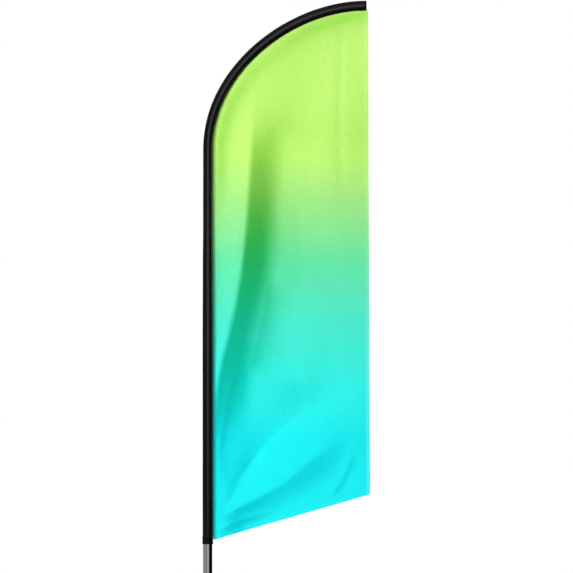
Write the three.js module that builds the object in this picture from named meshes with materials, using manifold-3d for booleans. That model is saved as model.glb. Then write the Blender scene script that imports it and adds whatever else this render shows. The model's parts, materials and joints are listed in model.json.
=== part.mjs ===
// A feather banner on a folding cross base. A mast of four sections runs up a black pole sleeve
// and bends over the top of a printed cloth panel. The mast stands on a ball-bearing rotator,
// so that the banner turns on the spindle of the base.
// Millimetres, +Z up. The origin is on the floor, on the axis of the spindle. The banner
// reaches from the mast along +X, and its faces look along -Y and +Y.

import * as THREE from "three";
import { mergeVertices } from "three/addons/utils/BufferGeometryUtils.js";
import Module from "manifold-3d";

const wasm = await Module();
wasm.setup();

// ---------------------------------------------------------------- driving dimensions

const gap = 0.3; // clearance between two pieces that touch
const sides = 24; // facets of a round piece
const rodSides = 16; // facets of a piece inside the sleeve

// The mast's line: straight up from the floor, then one smooth bend to a level tip.
const mastStraight = 1783.5;
const bendRise = 501.5;
const bendReach = 555.8;
const riseHandle = 0.549; // how far the bend keeps going up, as a share of its rise
const reachHandle = 0.482; // how long it runs nearly level, as a share of its reach
const bendStep = 30; // length of one straight facet along the bend

// Mast sections, each plugged into the one below it.
const bottomTubeRadius = 16;
const tubeWall = 1.5;
const bottomTubeLength = 915;
const middleTubeLength = 850;
const upperTubeLength = 500;
const tipRodLength = 520;
const plugDepth = 100;
const tipPlugDepth = 80;
const upperTubeTipRadius = 9.4;
const upperBoreTipRadius = 7;
const tipRodRadius = 6.6;
const tipRodEndRadius = 3.4;
const stopRingHeight = 4;
const tipCapRadius = 5.6;
const tipCapLength = 24;

// Pole sleeve, its closed end, and the tab that pulls it down.
const sleeveWall = 1.1;
const sleeveRoom = 0.6; // between a tube and the sleeve around it
const sleeveTipHalfThickness = 8.6;
const sleeveTaperStart = 1150;
const sleeveTaperLength = 500;
const pocketLength = 9;
const tabWidth = 20;
const tabThickness = 1.6;
const tabHeight = 84;
const tabSewnHeight = 55;

// Cloth panel.
const clothThickness = 1.2;
const panelOverhang = 7; // the free edge stands this far past the end of the sleeve
const panelFlare = 6.5; // and this much further at its foot
const freeEdgeFoot = 576; // height of the lower corner on the free edge
const mastCornerDrop = 8; // the corner at the mast hangs this far below the sleeve
const panelCorner = 10;

// Tension collar on the mast, with its clamping screw and its peg.
const sleeveFoot = 424.5;
const collarHeight = 24.5;
const collarWall = 3.1;
const collarRim = 4;
const screwRadius = 2.5;
const screwHeadRadius = 4;
const screwHeadHeight = 3;
const pegRadius = 2.4;
const pegHeadRadius = 2.9;
const pegLength = 5.4;
const eyeletRadius = 6.5;
const eyeletWall = 0.8;

// Rotator: a tube that turns on two ball bearings.
const rotatorHeight = 77; // underside of its flange
const rotatorLength = 207;
const rotatorWall = 1.9;
const flangeRadius = 21;
const flangeThickness = 6;
const bearingSetback = 1.5;
const bearingWidth = 6;
const bearingBore = 6; // radius
const ballRadius = 1.75;
const ballCount = 8;
const raceLip = 0.9; // half the opening between the two races
const circlipThickness = 1.2;
const circlipDepth = 0.7;
const circlipWidth = 2.4;
const capHeight = 18;
const capWall = 1.6;
const ferruleHeight = 18;
const ferruleWall = 2.2;
const ferruleLip = 3;

// Snap button that locks the mast to the rotator.
const buttonHeight = 138;
const buttonRadius = 3.5;
const buttonProud = 2.4;
const buttonHeadRadius = 4.2;
const buttonHeadThickness = 1.2;
const springThickness = 0.6;
const springWidth = 6;
const springReach = 30;

// Spindle and leg lock.
const spindleRadius = 8;
const spindleNeck = 4.6;
const spindleFlangeRadius = 16;
const spindleFlange = 3.7;
const threadRadius = 4.9;
const threadLength = 14;
const nutFlats = 17;
const nutHeight = 8;
const washerThickness = 2;
const knobRadius = 29;
const knobLobe = 2.6;
const knobLobes = 7;
const knobHeight = 18;

// Cross base: two bars that cross on the spindle, the upper one on taller feet.
const legWidth = 40;
const legHeight = 20;
const legWall = 1.5;
const legCorner = 3;
const lowerLegLength = 720;
const upperLegLength = 840;
const legTurn = Math.PI / 4; // the bars stand at this angle to the banner
const lowFoot = 8;
const footRadius = 16;
const footInset = 26; // centre of a foot from the end of its bar
const footScrewRadius = 2.5;
const footScrewHead = 5;
const footSeat = 5;
const footScrewGrip = 7;
const endPlugFlange = 4;
const endPlugDepth = 16;
const hubFootRadius = 25;

// ---------------------------------------------------------------- derived sizes

const lowerLegZ = lowFoot;
const spacerZ = lowerLegZ + legHeight + gap;
const upperLegZ = spacerZ + washerThickness + gap;
const topWasherZ = upperLegZ + legHeight + gap;
const knobZ = topWasherZ + washerThickness + gap;

const middleTubeRadius = bottomTubeRadius - tubeWall - gap;
const upperTubeRadius = middleTubeRadius - tubeWall - gap;
const upperBoreRadius = upperTubeRadius - 3.4;

const mastFoot = rotatorHeight + flangeThickness + ferruleLip + 2 * gap;
const bottomTubeTop = mastFoot + bottomTubeLength;
const middleTubeFoot = bottomTubeTop - plugDepth;
const middleTubeTop = middleTubeFoot + middleTubeLength;
const upperTubeFoot = middleTubeTop - plugDepth;
const upperTubeTop = upperTubeFoot + upperTubeLength;
const tipRodFoot = upperTubeTop - tipPlugDepth;
const tipRodTop = tipRodFoot + tipRodLength;

const sleeveRadius = bottomTubeRadius + sleeveRoom + sleeveWall;
const sleeveTopHalfWidth = middleTubeRadius + sleeveRoom + sleeveWall;
const collarRadius = bottomTubeRadius + gap + collarWall;
const collarZ = sleeveFoot - gap - collarHeight;

const rotatorRadius = middleTubeRadius;
const rotatorBore = rotatorRadius - rotatorWall;
const bearingRadius = rotatorBore - gap;
const ballCircle = (bearingBore + bearingRadius) / 2;
const spindleSeat = bearingBore - gap;
const lowerBearingZ = rotatorHeight + bearingSetback;
const rotatorTop = rotatorHeight + rotatorLength;
const upperBearingZ = rotatorTop - bearingSetback - bearingWidth;

// ---------------------------------------------------------------- the mast's line

const bend = new THREE.CubicBezierCurve3(
  new THREE.Vector3(0, 0, mastStraight),
  new THREE.Vector3(0, 0, mastStraight + riseHandle * bendRise),
  new THREE.Vector3(bendReach * (1 - reachHandle), 0, mastStraight + bendRise),
  new THREE.Vector3(bendReach, 0, mastStraight + bendRise),
);
bend.arcLengthDivisions = 600;
const mastLength = mastStraight + bend.getLength();

// The point at a length along the mast, and the direction there that faces the cloth.
function mastFrame(along) {
  if (along <= mastStraight) {
    return { point: new THREE.Vector3(0, 0, along), inward: new THREE.Vector3(1, 0, 0) };
  }
  const share = Math.min(1, (along - mastStraight) / bend.getLength());
  const heading = bend.getTangentAt(share);
  return {
    point: bend.getPointAt(share),
    inward: new THREE.Vector3(heading.z, 0, -heading.x),
  };
}

// Lengths along the mast at which a piece from one length to another has a ring of points.
function stations(from, to, extra = []) {
  const found = extra.filter((at) => at > from + 1 && at < to - 1);
  for (let at = mastStraight; at < to - 1; at += bendStep) {
    if (at > from + 1) found.push(at);
  }
  return [from, ...found.sort((a, b) => a - b), to];
}

// Bends a piece that was made straight up the Z axis so that it follows the mast.
function alongMast(geometry) {
  const position = geometry.getAttribute("position");
  for (let i = 0; i < position.count; i++) {
    const { point, inward } = mastFrame(position.getZ(i));
    const across = position.getX(i);
    position.setX(i, point.x + across * inward.x);
    position.setZ(i, point.z + across * inward.z);
  }
  return geometry;
}

// ---------------------------------------------------------------- shapes

// A turned piece about Z. The profile's points are [radius, height], anticlockwise with the
// radius to the right, and it either starts and ends on the axis or is a closed ring.
function turned(profile, facets = sides) {
  const points = profile.map(([radius, height]) => new THREE.Vector2(radius, height));
  if (points[0].x > 0) points.push(points[0].clone());
  return new THREE.LatheGeometry(points, facets).rotateX(Math.PI / 2);
}

function tube(outer, inner, from, to, facets = sides) {
  return turned([[inner, from], [outer, from], [outer, to], [inner, to]], facets);
}

function disc(radius, from, to, facets = sides) {
  return turned([[0, from], [radius, from], [radius, to], [0, to]], facets);
}

// A tube along the mast whose outer and inner radii vary with the length along it.
function mastTube(from, to, outerAt, innerAt, extra = []) {
  const rings = stations(from, to, extra);
  const outer = rings.map((at) => [outerAt(at), at]);
  const inner = rings.map((at) => [innerAt(at), at]).reverse();
  return turned([...outer, ...inner], rodSides);
}

function taper(from, to, start, end) {
  return (at) => THREE.MathUtils.mapLinear(at, from, to, start, end);
}

function solidOf(geometry) {
  const bare = geometry.index ? geometry.toNonIndexed() : geometry.clone();
  bare.deleteAttribute("normal");
  bare.deleteAttribute("uv");
  const merged = mergeVertices(bare, 1e-3);
  return new wasm.Manifold(
    new wasm.Mesh({
      numProp: 3,
      vertProperties: merged.attributes.position.array,
      triVerts: new Uint32Array(merged.index.array),
    }),
  );
}

function geometryOf(solid) {
  const mesh = solid.getMesh();
  const geometry = new THREE.BufferGeometry();
  geometry.setAttribute("position", new THREE.BufferAttribute(mesh.vertProperties, 3));
  geometry.setIndex(new THREE.BufferAttribute(mesh.triVerts, 1));
  return geometry;
}

function cut(geometry, ...tools) {
  return geometryOf(tools.reduce((left, tool) => left.subtract(solidOf(tool)), solidOf(geometry)));
}

function join(first, ...others) {
  return geometryOf(others.reduce((sum, other) => sum.add(solidOf(other)), solidOf(first)));
}

// The outline of a bar with round corners, its height along X and its width along Y.
function roundedOutline(height, width, corner, Kind = THREE.Shape) {
  const outline = new Kind();
  const x = height / 2 - corner;
  const y = width / 2 - corner;
  outline.absarc(x, y, corner, 0, Math.PI / 2);
  outline.absarc(-x, y, corner, Math.PI / 2, Math.PI);
  outline.absarc(-x, -y, corner, Math.PI, 1.5 * Math.PI);
  outline.absarc(x, -y, corner, 1.5 * Math.PI, 2 * Math.PI);
  return outline;
}

// Extrudes an outline of height and width along X, from one place to another.
function barAlongX(outline, from, to) {
  const options = { depth: to - from, bevelEnabled: false, curveSegments: 3 };
  return new THREE.ExtrudeGeometry(outline, options).rotateY(Math.PI / 2).translate(from, 0, 0);
}

// ---------------------------------------------------------------- materials

const finish = {
  cloth: new THREE.MeshStandardMaterial({ color: 0x7fe8a8, roughness: 0.85, metalness: 0 }),
  sleeve: new THREE.MeshStandardMaterial({ color: 0x111112, roughness: 0.6, metalness: 0 }),
  aluminium: new THREE.MeshStandardMaterial({ color: 0xb9babc, roughness: 0.3, metalness: 1 }),
  fibreglass: new THREE.MeshStandardMaterial({ color: 0x1b1b1c, roughness: 0.45, metalness: 0 }),
  plastic: new THREE.MeshStandardMaterial({ color: 0x0c0c0d, roughness: 0.5, metalness: 0 }),
  rubber: new THREE.MeshStandardMaterial({ color: 0x161616, roughness: 0.9, metalness: 0 }),
  steel: new THREE.MeshStandardMaterial({ color: 0x9a9b9e, roughness: 0.35, metalness: 1 }),
  bright: new THREE.MeshStandardMaterial({ color: 0xd2d3d6, roughness: 0.15, metalness: 1 }),
  paint: new THREE.MeshStandardMaterial({ color: 0x1a1a1b, roughness: 0.45, metalness: 0.2 }),
  brass: new THREE.MeshStandardMaterial({ color: 0xb08d45, roughness: 0.35, metalness: 1 }),
  nylon: new THREE.MeshStandardMaterial({ color: 0xd8d8d2, roughness: 0.6, metalness: 0 }),
};

const banner = new THREE.Group();

function add(name, geometry, material, parent = banner) {
  const mesh = new THREE.Mesh(geometry, material);
  mesh.name = name;
  parent.add(mesh);
  return mesh;
}

// ---------------------------------------------------------------- mast

function addMast() {
  const bottomTube = tube(bottomTubeRadius, bottomTubeRadius - tubeWall, mastFoot, bottomTubeTop);
  add("bottom_tube", cut(bottomTube, buttonHole()), finish.aluminium);
  const middleTube = tube(middleTubeRadius, middleTubeRadius - tubeWall, middleTubeFoot, middleTubeTop);
  add("middle_tube", alongMast(middleTube), finish.aluminium);

  const upperOuter = taper(upperTubeFoot, upperTubeTop, upperTubeRadius, upperTubeTipRadius);
  const upperInner = taper(upperTubeFoot, upperTubeTop, upperBoreRadius, upperBoreTipRadius);
  const upperTube = mastTube(upperTubeFoot, upperTubeTop, upperOuter, upperInner, [middleTubeTop]);
  add("upper_tube", alongMast(upperTube), finish.fibreglass);

  const tipRadius = taper(upperTubeTop, tipRodTop, tipRodRadius, tipRodEndRadius);
  const tipRings = stations(tipRodFoot, tipRodTop, [upperTubeTop]);
  const tipProfile = tipRings.map((at) => [Math.min(tipRodRadius, tipRadius(at)), at]);
  const tipRod = turned([[0, tipRodFoot], ...tipProfile, [0, tipRodTop]], rodSides);
  add("tip_rod", alongMast(tipRod), finish.fibreglass);

  // Each upper section has a ring that stops it on the rim of the section below.
  const rings = [
    ["bottom_joint_ring", bottomTubeTop, middleTubeRadius, bottomTubeRadius, finish.plastic, sides],
    ["middle_joint_ring", middleTubeTop, upperOuter(middleTubeTop), middleTubeRadius, finish.plastic, rodSides],
    ["upper_joint_ring", upperTubeTop, tipRodRadius, upperTubeTipRadius, finish.brass, rodSides],
  ];
  for (const [name, rim, inner, outer, material, facets] of rings) {
    const ring = tube(outer, inner + gap, rim + gap, rim + gap + stopRingHeight, facets);
    add(name, alongMast(ring), material);
  }

  const capFoot = tipRodTop - tipCapLength / 2;
  const capTop = capFoot + tipCapLength;
  const socket = tipRadius(capFoot) + gap;
  const cap = turned(
    [
      [socket, capFoot],
      [tipCapRadius, capFoot],
      [tipCapRadius, capTop - tipCapRadius],
      [tipCapRadius * Math.SQRT1_2, capTop - tipCapRadius * (1 - Math.SQRT1_2)],
      [0, capTop],
      [0, tipRodTop + gap],
      [socket, tipRodTop + gap],
    ],
    rodSides,
  );
  add("tip_cap", alongMast(cap), finish.rubber);
}

// ---------------------------------------------------------------- sleeve and cloth

// Half the sleeve's width in the plane of the banner: snug on the tube, narrower above it.
function sleeveHalfWidth(along) {
  const share = THREE.MathUtils.smoothstep(along, sleeveTaperStart, sleeveTaperStart + sleeveTaperLength);
  return THREE.MathUtils.lerp(sleeveRadius, sleeveTopHalfWidth, share);
}

// How round the sleeve is: it lies flatter as the rod inside it gets thinner.
function sleeveFlatness(along) {
  const tip = sleeveTipHalfThickness / sleeveTopHalfWidth;
  return along <= mastStraight ? 1 : THREE.MathUtils.mapLinear(along, mastStraight, mastLength, 1, tip);
}

function flattened(geometry) {
  const position = geometry.getAttribute("position");
  for (let i = 0; i < position.count; i++) {
    position.setY(i, position.getY(i) * sleeveFlatness(position.getZ(i)));
  }
  return geometry;
}

const pocketFoot = mastLength - pocketLength;
const sleeveRings = [0, 0.25, 0.5, 0.75, 1].map((share) => sleeveTaperStart + share * sleeveTaperLength);

function addSleeve() {
  const inner = (at) => sleeveHalfWidth(at) - sleeveWall;
  const sleeve = mastTube(sleeveFoot, pocketFoot - gap, sleeveHalfWidth, inner, sleeveRings);
  add("pole_sleeve", alongMast(flattened(sleeve)), finish.sleeve);

  const width = sleeveTopHalfWidth;
  const pocket = turned(
    [
      [width - sleeveWall, pocketFoot],
      [width, pocketFoot],
      [width, mastLength],
      [0, mastLength],
      [0, mastLength - sleeveWall],
      [width - sleeveWall, mastLength - sleeveWall],
    ],
    rodSides,
  );
  add("tip_pocket", alongMast(flattened(pocket)), finish.sleeve);
}

function addPanel() {
  const outline = new THREE.Shape();
  const right = bendReach + panelOverhang;
  const cornerX = collarRadius + gap;
  const cornerZ = sleeveFoot - mastCornerDrop;
  const slope = (freeEdgeFoot - cornerZ) / (right + panelFlare - cornerX);
  outline.moveTo(cornerX, cornerZ + panelCorner);
  for (const at of stations(sleeveFoot + panelCorner, mastLength, [...sleeveRings, pocketFoot])) {
    const { point, inward } = mastFrame(at);
    const offset = sleeveHalfWidth(at) + gap;
    outline.lineTo(point.x + inward.x * offset, point.z + inward.z * offset);
  }
  outline.lineTo(right, mastStraight + bendRise - sleeveTopHalfWidth - gap);
  outline.lineTo(right + panelFlare, freeEdgeFoot + panelCorner);
  outline.quadraticCurveTo(
    right + panelFlare,
    freeEdgeFoot,
    right + panelFlare - panelCorner,
    freeEdgeFoot - slope * panelCorner,
  );
  outline.lineTo(cornerX + panelCorner, cornerZ + slope * panelCorner);
  outline.quadraticCurveTo(cornerX, cornerZ, cornerX, cornerZ + panelCorner);
  const panel = new THREE.ExtrudeGeometry(outline, {
    depth: clothThickness,
    bevelEnabled: false,
    curveSegments: 4,
  });
  panel.rotateX(Math.PI / 2).translate(0, clothThickness / 2, 0);
  add("flag_panel", panel, finish.cloth);
}

// ---------------------------------------------------------------- collar and tension tab

function pegZ() {
  return collarZ + collarHeight / 3;
}

// A round piece whose axis runs along Y at a height, between two places along Y.
function alongY(radius, from, to, height, facets = rodSides) {
  const round = new THREE.CylinderGeometry(radius, radius, to - from, facets);
  return round.translate(0, (from + to) / 2, height);
}

function addCollar() {
  const bore = bottomTubeRadius + gap;
  const waist = collarRadius - 0.9;
  const soften = 1.2;
  const top = collarZ + collarHeight;
  const ring = turned([
    [bore, collarZ],
    [collarRadius - soften, collarZ],
    [collarRadius, collarZ + soften],
    [collarRadius, collarZ + collarRim],
    [waist, collarZ + collarRim + soften],
    [waist, top - collarRim - soften],
    [collarRadius, top - collarRim],
    [collarRadius, top - soften],
    [collarRadius - soften, top],
    [bore, top],
  ]);
  const pegEnd = collarRadius + pegLength;
  const peg = alongY(pegRadius, bore + 1, pegEnd - 1, pegZ());
  const pegHead = alongY(pegHeadRadius, pegEnd - 1.6, pegEnd, pegZ());
  const screwZ = collarZ + collarHeight * 0.6;
  const screwHole = alongY(screwRadius + gap, -collarRadius - 1, -bore + 1, screwZ);
  add("tension_collar", join(cut(ring, screwHole), peg, pegHead), finish.plastic);

  const stem = alongY(screwRadius, -collarRadius - gap - 0.5, -bore, screwZ);
  const head = alongY(screwHeadRadius, -collarRadius - gap - screwHeadHeight, -collarRadius - gap, screwZ, 20);
  const slot = new THREE.BoxGeometry(2 * screwHeadRadius + 1, 1, 1.2);
  slot.translate(0, -collarRadius - gap - screwHeadHeight, screwZ);
  add("collar_screw", cut(join(stem, head), slot), finish.plastic);
}

function addTensionTab() {
  const low = collarRadius + 2 * gap;
  const high = sleeveRadius + gap;
  const foot = pegZ() - eyeletRadius - 2;
  const top = sleeveFoot + tabHeight;
  const kneeTop = top - tabSewnHeight;
  const section = new THREE.Shape([
    new THREE.Vector2(low, foot),
    new THREE.Vector2(low + tabThickness, foot),
    new THREE.Vector2(low + tabThickness, sleeveFoot),
    new THREE.Vector2(high + tabThickness, kneeTop),
    new THREE.Vector2(high + tabThickness, top),
    new THREE.Vector2(high, top),
    new THREE.Vector2(high, kneeTop),
    new THREE.Vector2(low, sleeveFoot),
  ]);
  const strap = new THREE.ExtrudeGeometry(section, { depth: tabWidth, bevelEnabled: false });
  // The section lies in X and Y as it is drawn; this turns it to lie in Y and Z.
  strap.applyMatrix4(new THREE.Matrix4().set(0, 0, 1, -tabWidth / 2, 1, 0, 0, 0, 0, 1, 0, 0, 0, 0, 0, 1));
  const barrel = pegHeadRadius + gap + eyeletWall;
  const eye = alongY(barrel + gap, low - 1, low + tabThickness + 1, pegZ());
  add("tension_tab", cut(strap, eye), finish.sleeve);

  const middle = low + tabThickness / 2;
  const reach = tabThickness / 2 + gap;
  const flange = 0.5;
  const inside = reach > middle - collarRadius - 2 * gap ? 0 : flange;
  const eyelet = turned([
    [barrel - eyeletWall, -reach + inside],
    [barrel, -reach + inside],
    [barrel, reach],
    [eyeletRadius, reach],
    [eyeletRadius, reach + flange],
    [barrel - eyeletWall, reach + flange],
  ]);
  eyelet.rotateX(-Math.PI / 2).translate(0, middle, pegZ());
  add("tab_eyelet", eyelet, finish.brass);
}

// ---------------------------------------------------------------- rotator

function buttonHole() {
  return alongY(buttonRadius + gap, -bottomTubeRadius - 2, -rotatorBore + 2, buttonHeight);
}

function addRotator() {
  const grooves = [lowerCirclipZ(), upperCirclipZ()].map((z) =>
    tube(rotatorBore + circlipDepth + gap, rotatorBore - 2, z - gap, z + circlipThickness + gap),
  );
  const flangeTop = rotatorHeight + flangeThickness;
  const body = turned([
    [rotatorBore, rotatorHeight],
    [flangeRadius - 1, rotatorHeight],
    [flangeRadius, rotatorHeight + 1],
    [flangeRadius, flangeTop - 1],
    [flangeRadius - 1, flangeTop],
    [rotatorRadius, flangeTop],
    [rotatorRadius, rotatorTop],
    [rotatorBore, rotatorTop],
  ]);
  add("rotator_tube", cut(body, ...grooves, buttonHole()), finish.steel);

  const capFoot = rotatorTop + gap;
  const cap = turned([
    [rotatorRadius - capWall, capFoot],
    [rotatorRadius, capFoot],
    [rotatorRadius, capFoot + capHeight - 2],
    [rotatorRadius - 2, capFoot + capHeight],
    [0, capFoot + capHeight],
    [0, capFoot + capHeight - capWall],
    [rotatorRadius - capWall, capFoot + capHeight - capWall],
  ]);
  add("rotator_cap", cap, finish.plastic);

  const lipFoot = flangeTop + gap;
  const ferruleInner = bottomTubeRadius + gap;
  const ferrule = turned([
    [rotatorRadius + gap, lipFoot],
    [ferruleInner + ferruleWall, lipFoot],
    [ferruleInner + ferruleWall, lipFoot + ferruleHeight - 1.5],
    [ferruleInner + ferruleWall - 1, lipFoot + ferruleHeight],
    [ferruleInner, lipFoot + ferruleHeight],
    [ferruleInner, mastFoot - gap],
    [rotatorRadius + gap, mastFoot - gap],
  ]);
  add("mast_foot_ferrule", ferrule, finish.plastic);
}

function lowerCirclipZ() {
  return lowerBearingZ + bearingWidth + gap;
}

function upperCirclipZ() {
  return upperBearingZ - gap - circlipThickness;
}

// One race of a bearing: a ring with the balls' groove in its wall.
function race(inner, outer, grooveRadius, facing) {
  const groove = [];
  const steps = 6;
  const reach = Math.asin(Math.min(1, Math.abs(facing) / grooveRadius));
  const start = Math.PI / 2 - Math.acos(Math.sin(reach));
  for (let i = 0; i <= steps; i++) {
    const angle = THREE.MathUtils.lerp(-(Math.PI / 2 - start), Math.PI / 2 - start, i / steps);
    groove.push([Math.cos(angle) * grooveRadius, Math.sin(angle) * grooveRadius]);
  }
  const half = bearingWidth / 2;
  if (facing > 0) {
    const wall = groove.reverse().map(([across, up]) => [ballCircle + across, up]);
    return turned([[inner, -half], [outer, -half], [outer, half], [inner, half], ...wall]);
  }
  const wall = groove.map(([across, up]) => [ballCircle - across, up]);
  return turned([[inner, -half], [outer, -half], ...wall, [outer, half], [inner, half]]);
}

function ballCage() {
  const cage = tube(ballCircle + raceLip - gap, ballCircle - raceLip + gap, -0.6, 0.6);
  const balls = [];
  for (let i = 0; i < ballCount; i++) {
    const angle = (i / ballCount) * 2 * Math.PI;
    const ball = new THREE.IcosahedronGeometry(ballRadius, 1);
    balls.push(ball.translate(ballCircle * Math.cos(angle), ballCircle * Math.sin(angle), 0));
  }
  return join(cage, ...balls);
}

function addBearings() {
  const levels = [["lower", lowerBearingZ], ["upper", upperBearingZ]];
  for (const [level, foot] of levels) {
    const middle = foot + bearingWidth / 2;
    const groove = ballRadius + gap;
    const outerRace = race(ballCircle + raceLip, bearingRadius, groove, raceLip);
    const innerRace = race(bearingBore, ballCircle - raceLip, groove, -raceLip);
    add(`${level}_bearing_outer_race`, outerRace, finish.bright).position.z = middle;
    add(`${level}_bearing_inner_race`, innerRace, finish.bright).position.z = middle;
    add(`${level}_bearing_ball_cage`, ballCage(), finish.bright).position.z = middle;
  }
  const circlips = [["lower_circlip", lowerCirclipZ()], ["upper_circlip", upperCirclipZ()]];
  for (const [name, z] of circlips) {
    const outer = rotatorBore + circlipDepth;
    const ring = tube(outer, outer - circlipWidth, z, z + circlipThickness);
    const opening = new THREE.BoxGeometry(2 * outer, 3, 4).translate(0, 0, z);
    opening.translate(-outer, 0, 0);
    add(name, cut(ring, opening), finish.steel);
  }
}

function addSnapButton() {
  const tip = -(bottomTubeRadius + buttonProud);
  const wallAtHead = Math.sqrt(rotatorBore ** 2 - buttonHeadRadius ** 2);
  const headOuter = -(wallAtHead - gap);
  const headInner = headOuter + buttonHeadThickness;
  const stem = alongY(buttonRadius, tip + 1, headOuter + 0.5, buttonHeight, sides);
  const nose = new THREE.CylinderGeometry(buttonRadius, buttonRadius - 1, 1, sides);
  nose.translate(0, tip + 0.5, buttonHeight);
  const head = alongY(buttonHeadRadius, headOuter, headInner, buttonHeight, sides);
  add("snap_button", join(stem, nose, head), finish.bright);

  // The leaf spring lies along the rotator's wall and stands behind the button's head.
  const inner = headInner + gap;
  const wallAtSpring = Math.sqrt(rotatorBore ** 2 - (springWidth / 2) ** 2);
  const foot = -(wallAtSpring - gap);
  const top = buttonHeight + buttonHeadRadius + 2;
  const kneeTop = buttonHeight - buttonHeadRadius - 2;
  const bottom = kneeTop - springReach;
  const section = new THREE.Shape([
    new THREE.Vector2(foot, bottom),
    new THREE.Vector2(foot + springThickness, bottom),
    new THREE.Vector2(foot + springThickness, bottom + 10),
    new THREE.Vector2(inner + springThickness, kneeTop),
    new THREE.Vector2(inner + springThickness, top),
    new THREE.Vector2(inner, top),
    new THREE.Vector2(inner, kneeTop),
    new THREE.Vector2(foot, bottom + 10),
  ]);
  const leaf = new THREE.ExtrudeGeometry(section, { depth: springWidth, bevelEnabled: false });
  leaf.applyMatrix4(new THREE.Matrix4().set(0, 0, 1, -springWidth / 2, 1, 0, 0, 0, 0, 1, 0, 0, 0, 0, 0, 1));
  add("button_leaf_spring", leaf, finish.steel);
}

// ---------------------------------------------------------------- spindle and leg lock

function addSpindle() {
  const flangeZ = lowerLegZ - gap - spindleFlange;
  const shoulder = lowerBearingZ - gap;
  const seatTop = lowerBearingZ + bearingWidth;
  const threadZ = upperBearingZ + bearingWidth;
  const spindle = turned([
    [0, flangeZ],
    [spindleFlangeRadius, flangeZ],
    [spindleFlangeRadius, flangeZ + spindleFlange],
    [spindleRadius, flangeZ + spindleFlange],
    [spindleRadius, shoulder],
    [spindleSeat, shoulder],
    [spindleSeat, seatTop],
    [spindleNeck, seatTop + 2],
    [spindleNeck, upperBearingZ - 2],
    [spindleSeat, upperBearingZ],
    [spindleSeat, threadZ],
    [threadRadius, threadZ],
    [threadRadius, threadZ + threadLength - 1],
    [threadRadius - 1, threadZ + threadLength],
    [0, threadZ + threadLength],
  ]);
  add("spindle", spindle, finish.steel);

  const washerZ = threadZ + gap;
  const washerTop = washerZ + 1;
  add("retaining_washer", tube(ballCircle - raceLip, threadRadius + gap, washerZ, washerTop), finish.steel);
  const nutFoot = washerTop + gap;
  const corner = nutFlats / Math.sqrt(3);
  const blank = disc(corner, nutFoot, nutFoot + nutHeight, 6);
  const bore = disc(threadRadius + gap, nutFoot - 1, nutFoot + nutHeight + 1);
  add("retaining_nut", cut(blank, bore), finish.steel);
}

function addLegLock() {
  const spacerRadius = legWidth / 2 - 1;
  const bore = spindleRadius + gap;
  add("leg_spacer", tube(spacerRadius, bore, spacerZ, spacerZ + washerThickness), finish.nylon);
  add("lock_washer", tube(spacerRadius - 3, bore, topWasherZ, topWasherZ + washerThickness), finish.steel);

  const outline = new THREE.Shape();
  const points = 56;
  for (let i = 0; i < points; i++) {
    const angle = (i / points) * 2 * Math.PI;
    const radius = knobRadius + knobLobe * Math.cos(knobLobes * angle);
    const place = [radius * Math.cos(angle), radius * Math.sin(angle)];
    if (i) outline.lineTo(...place);
    else outline.moveTo(...place);
  }
  const round = 2;
  const grip = new THREE.ExtrudeGeometry(outline, {
    depth: knobHeight - 2 * round,
    bevelThickness: round,
    bevelSize: round,
    bevelOffset: -round,
    bevelSegments: 2,
  });
  grip.translate(0, 0, knobZ + round);
  const hole = disc(bore, knobZ - 1, knobZ + knobHeight + 1);
  const dish = turned([
    [0, knobZ + knobHeight - 3],
    [knobRadius - 10, knobZ + knobHeight - 3],
    [knobRadius - 7, knobZ + knobHeight + 1],
    [0, knobZ + knobHeight + 1],
  ]);
  add("leg_lock_knob", cut(grip, hole, dish), finish.plastic);
}

// ---------------------------------------------------------------- cross base

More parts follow.
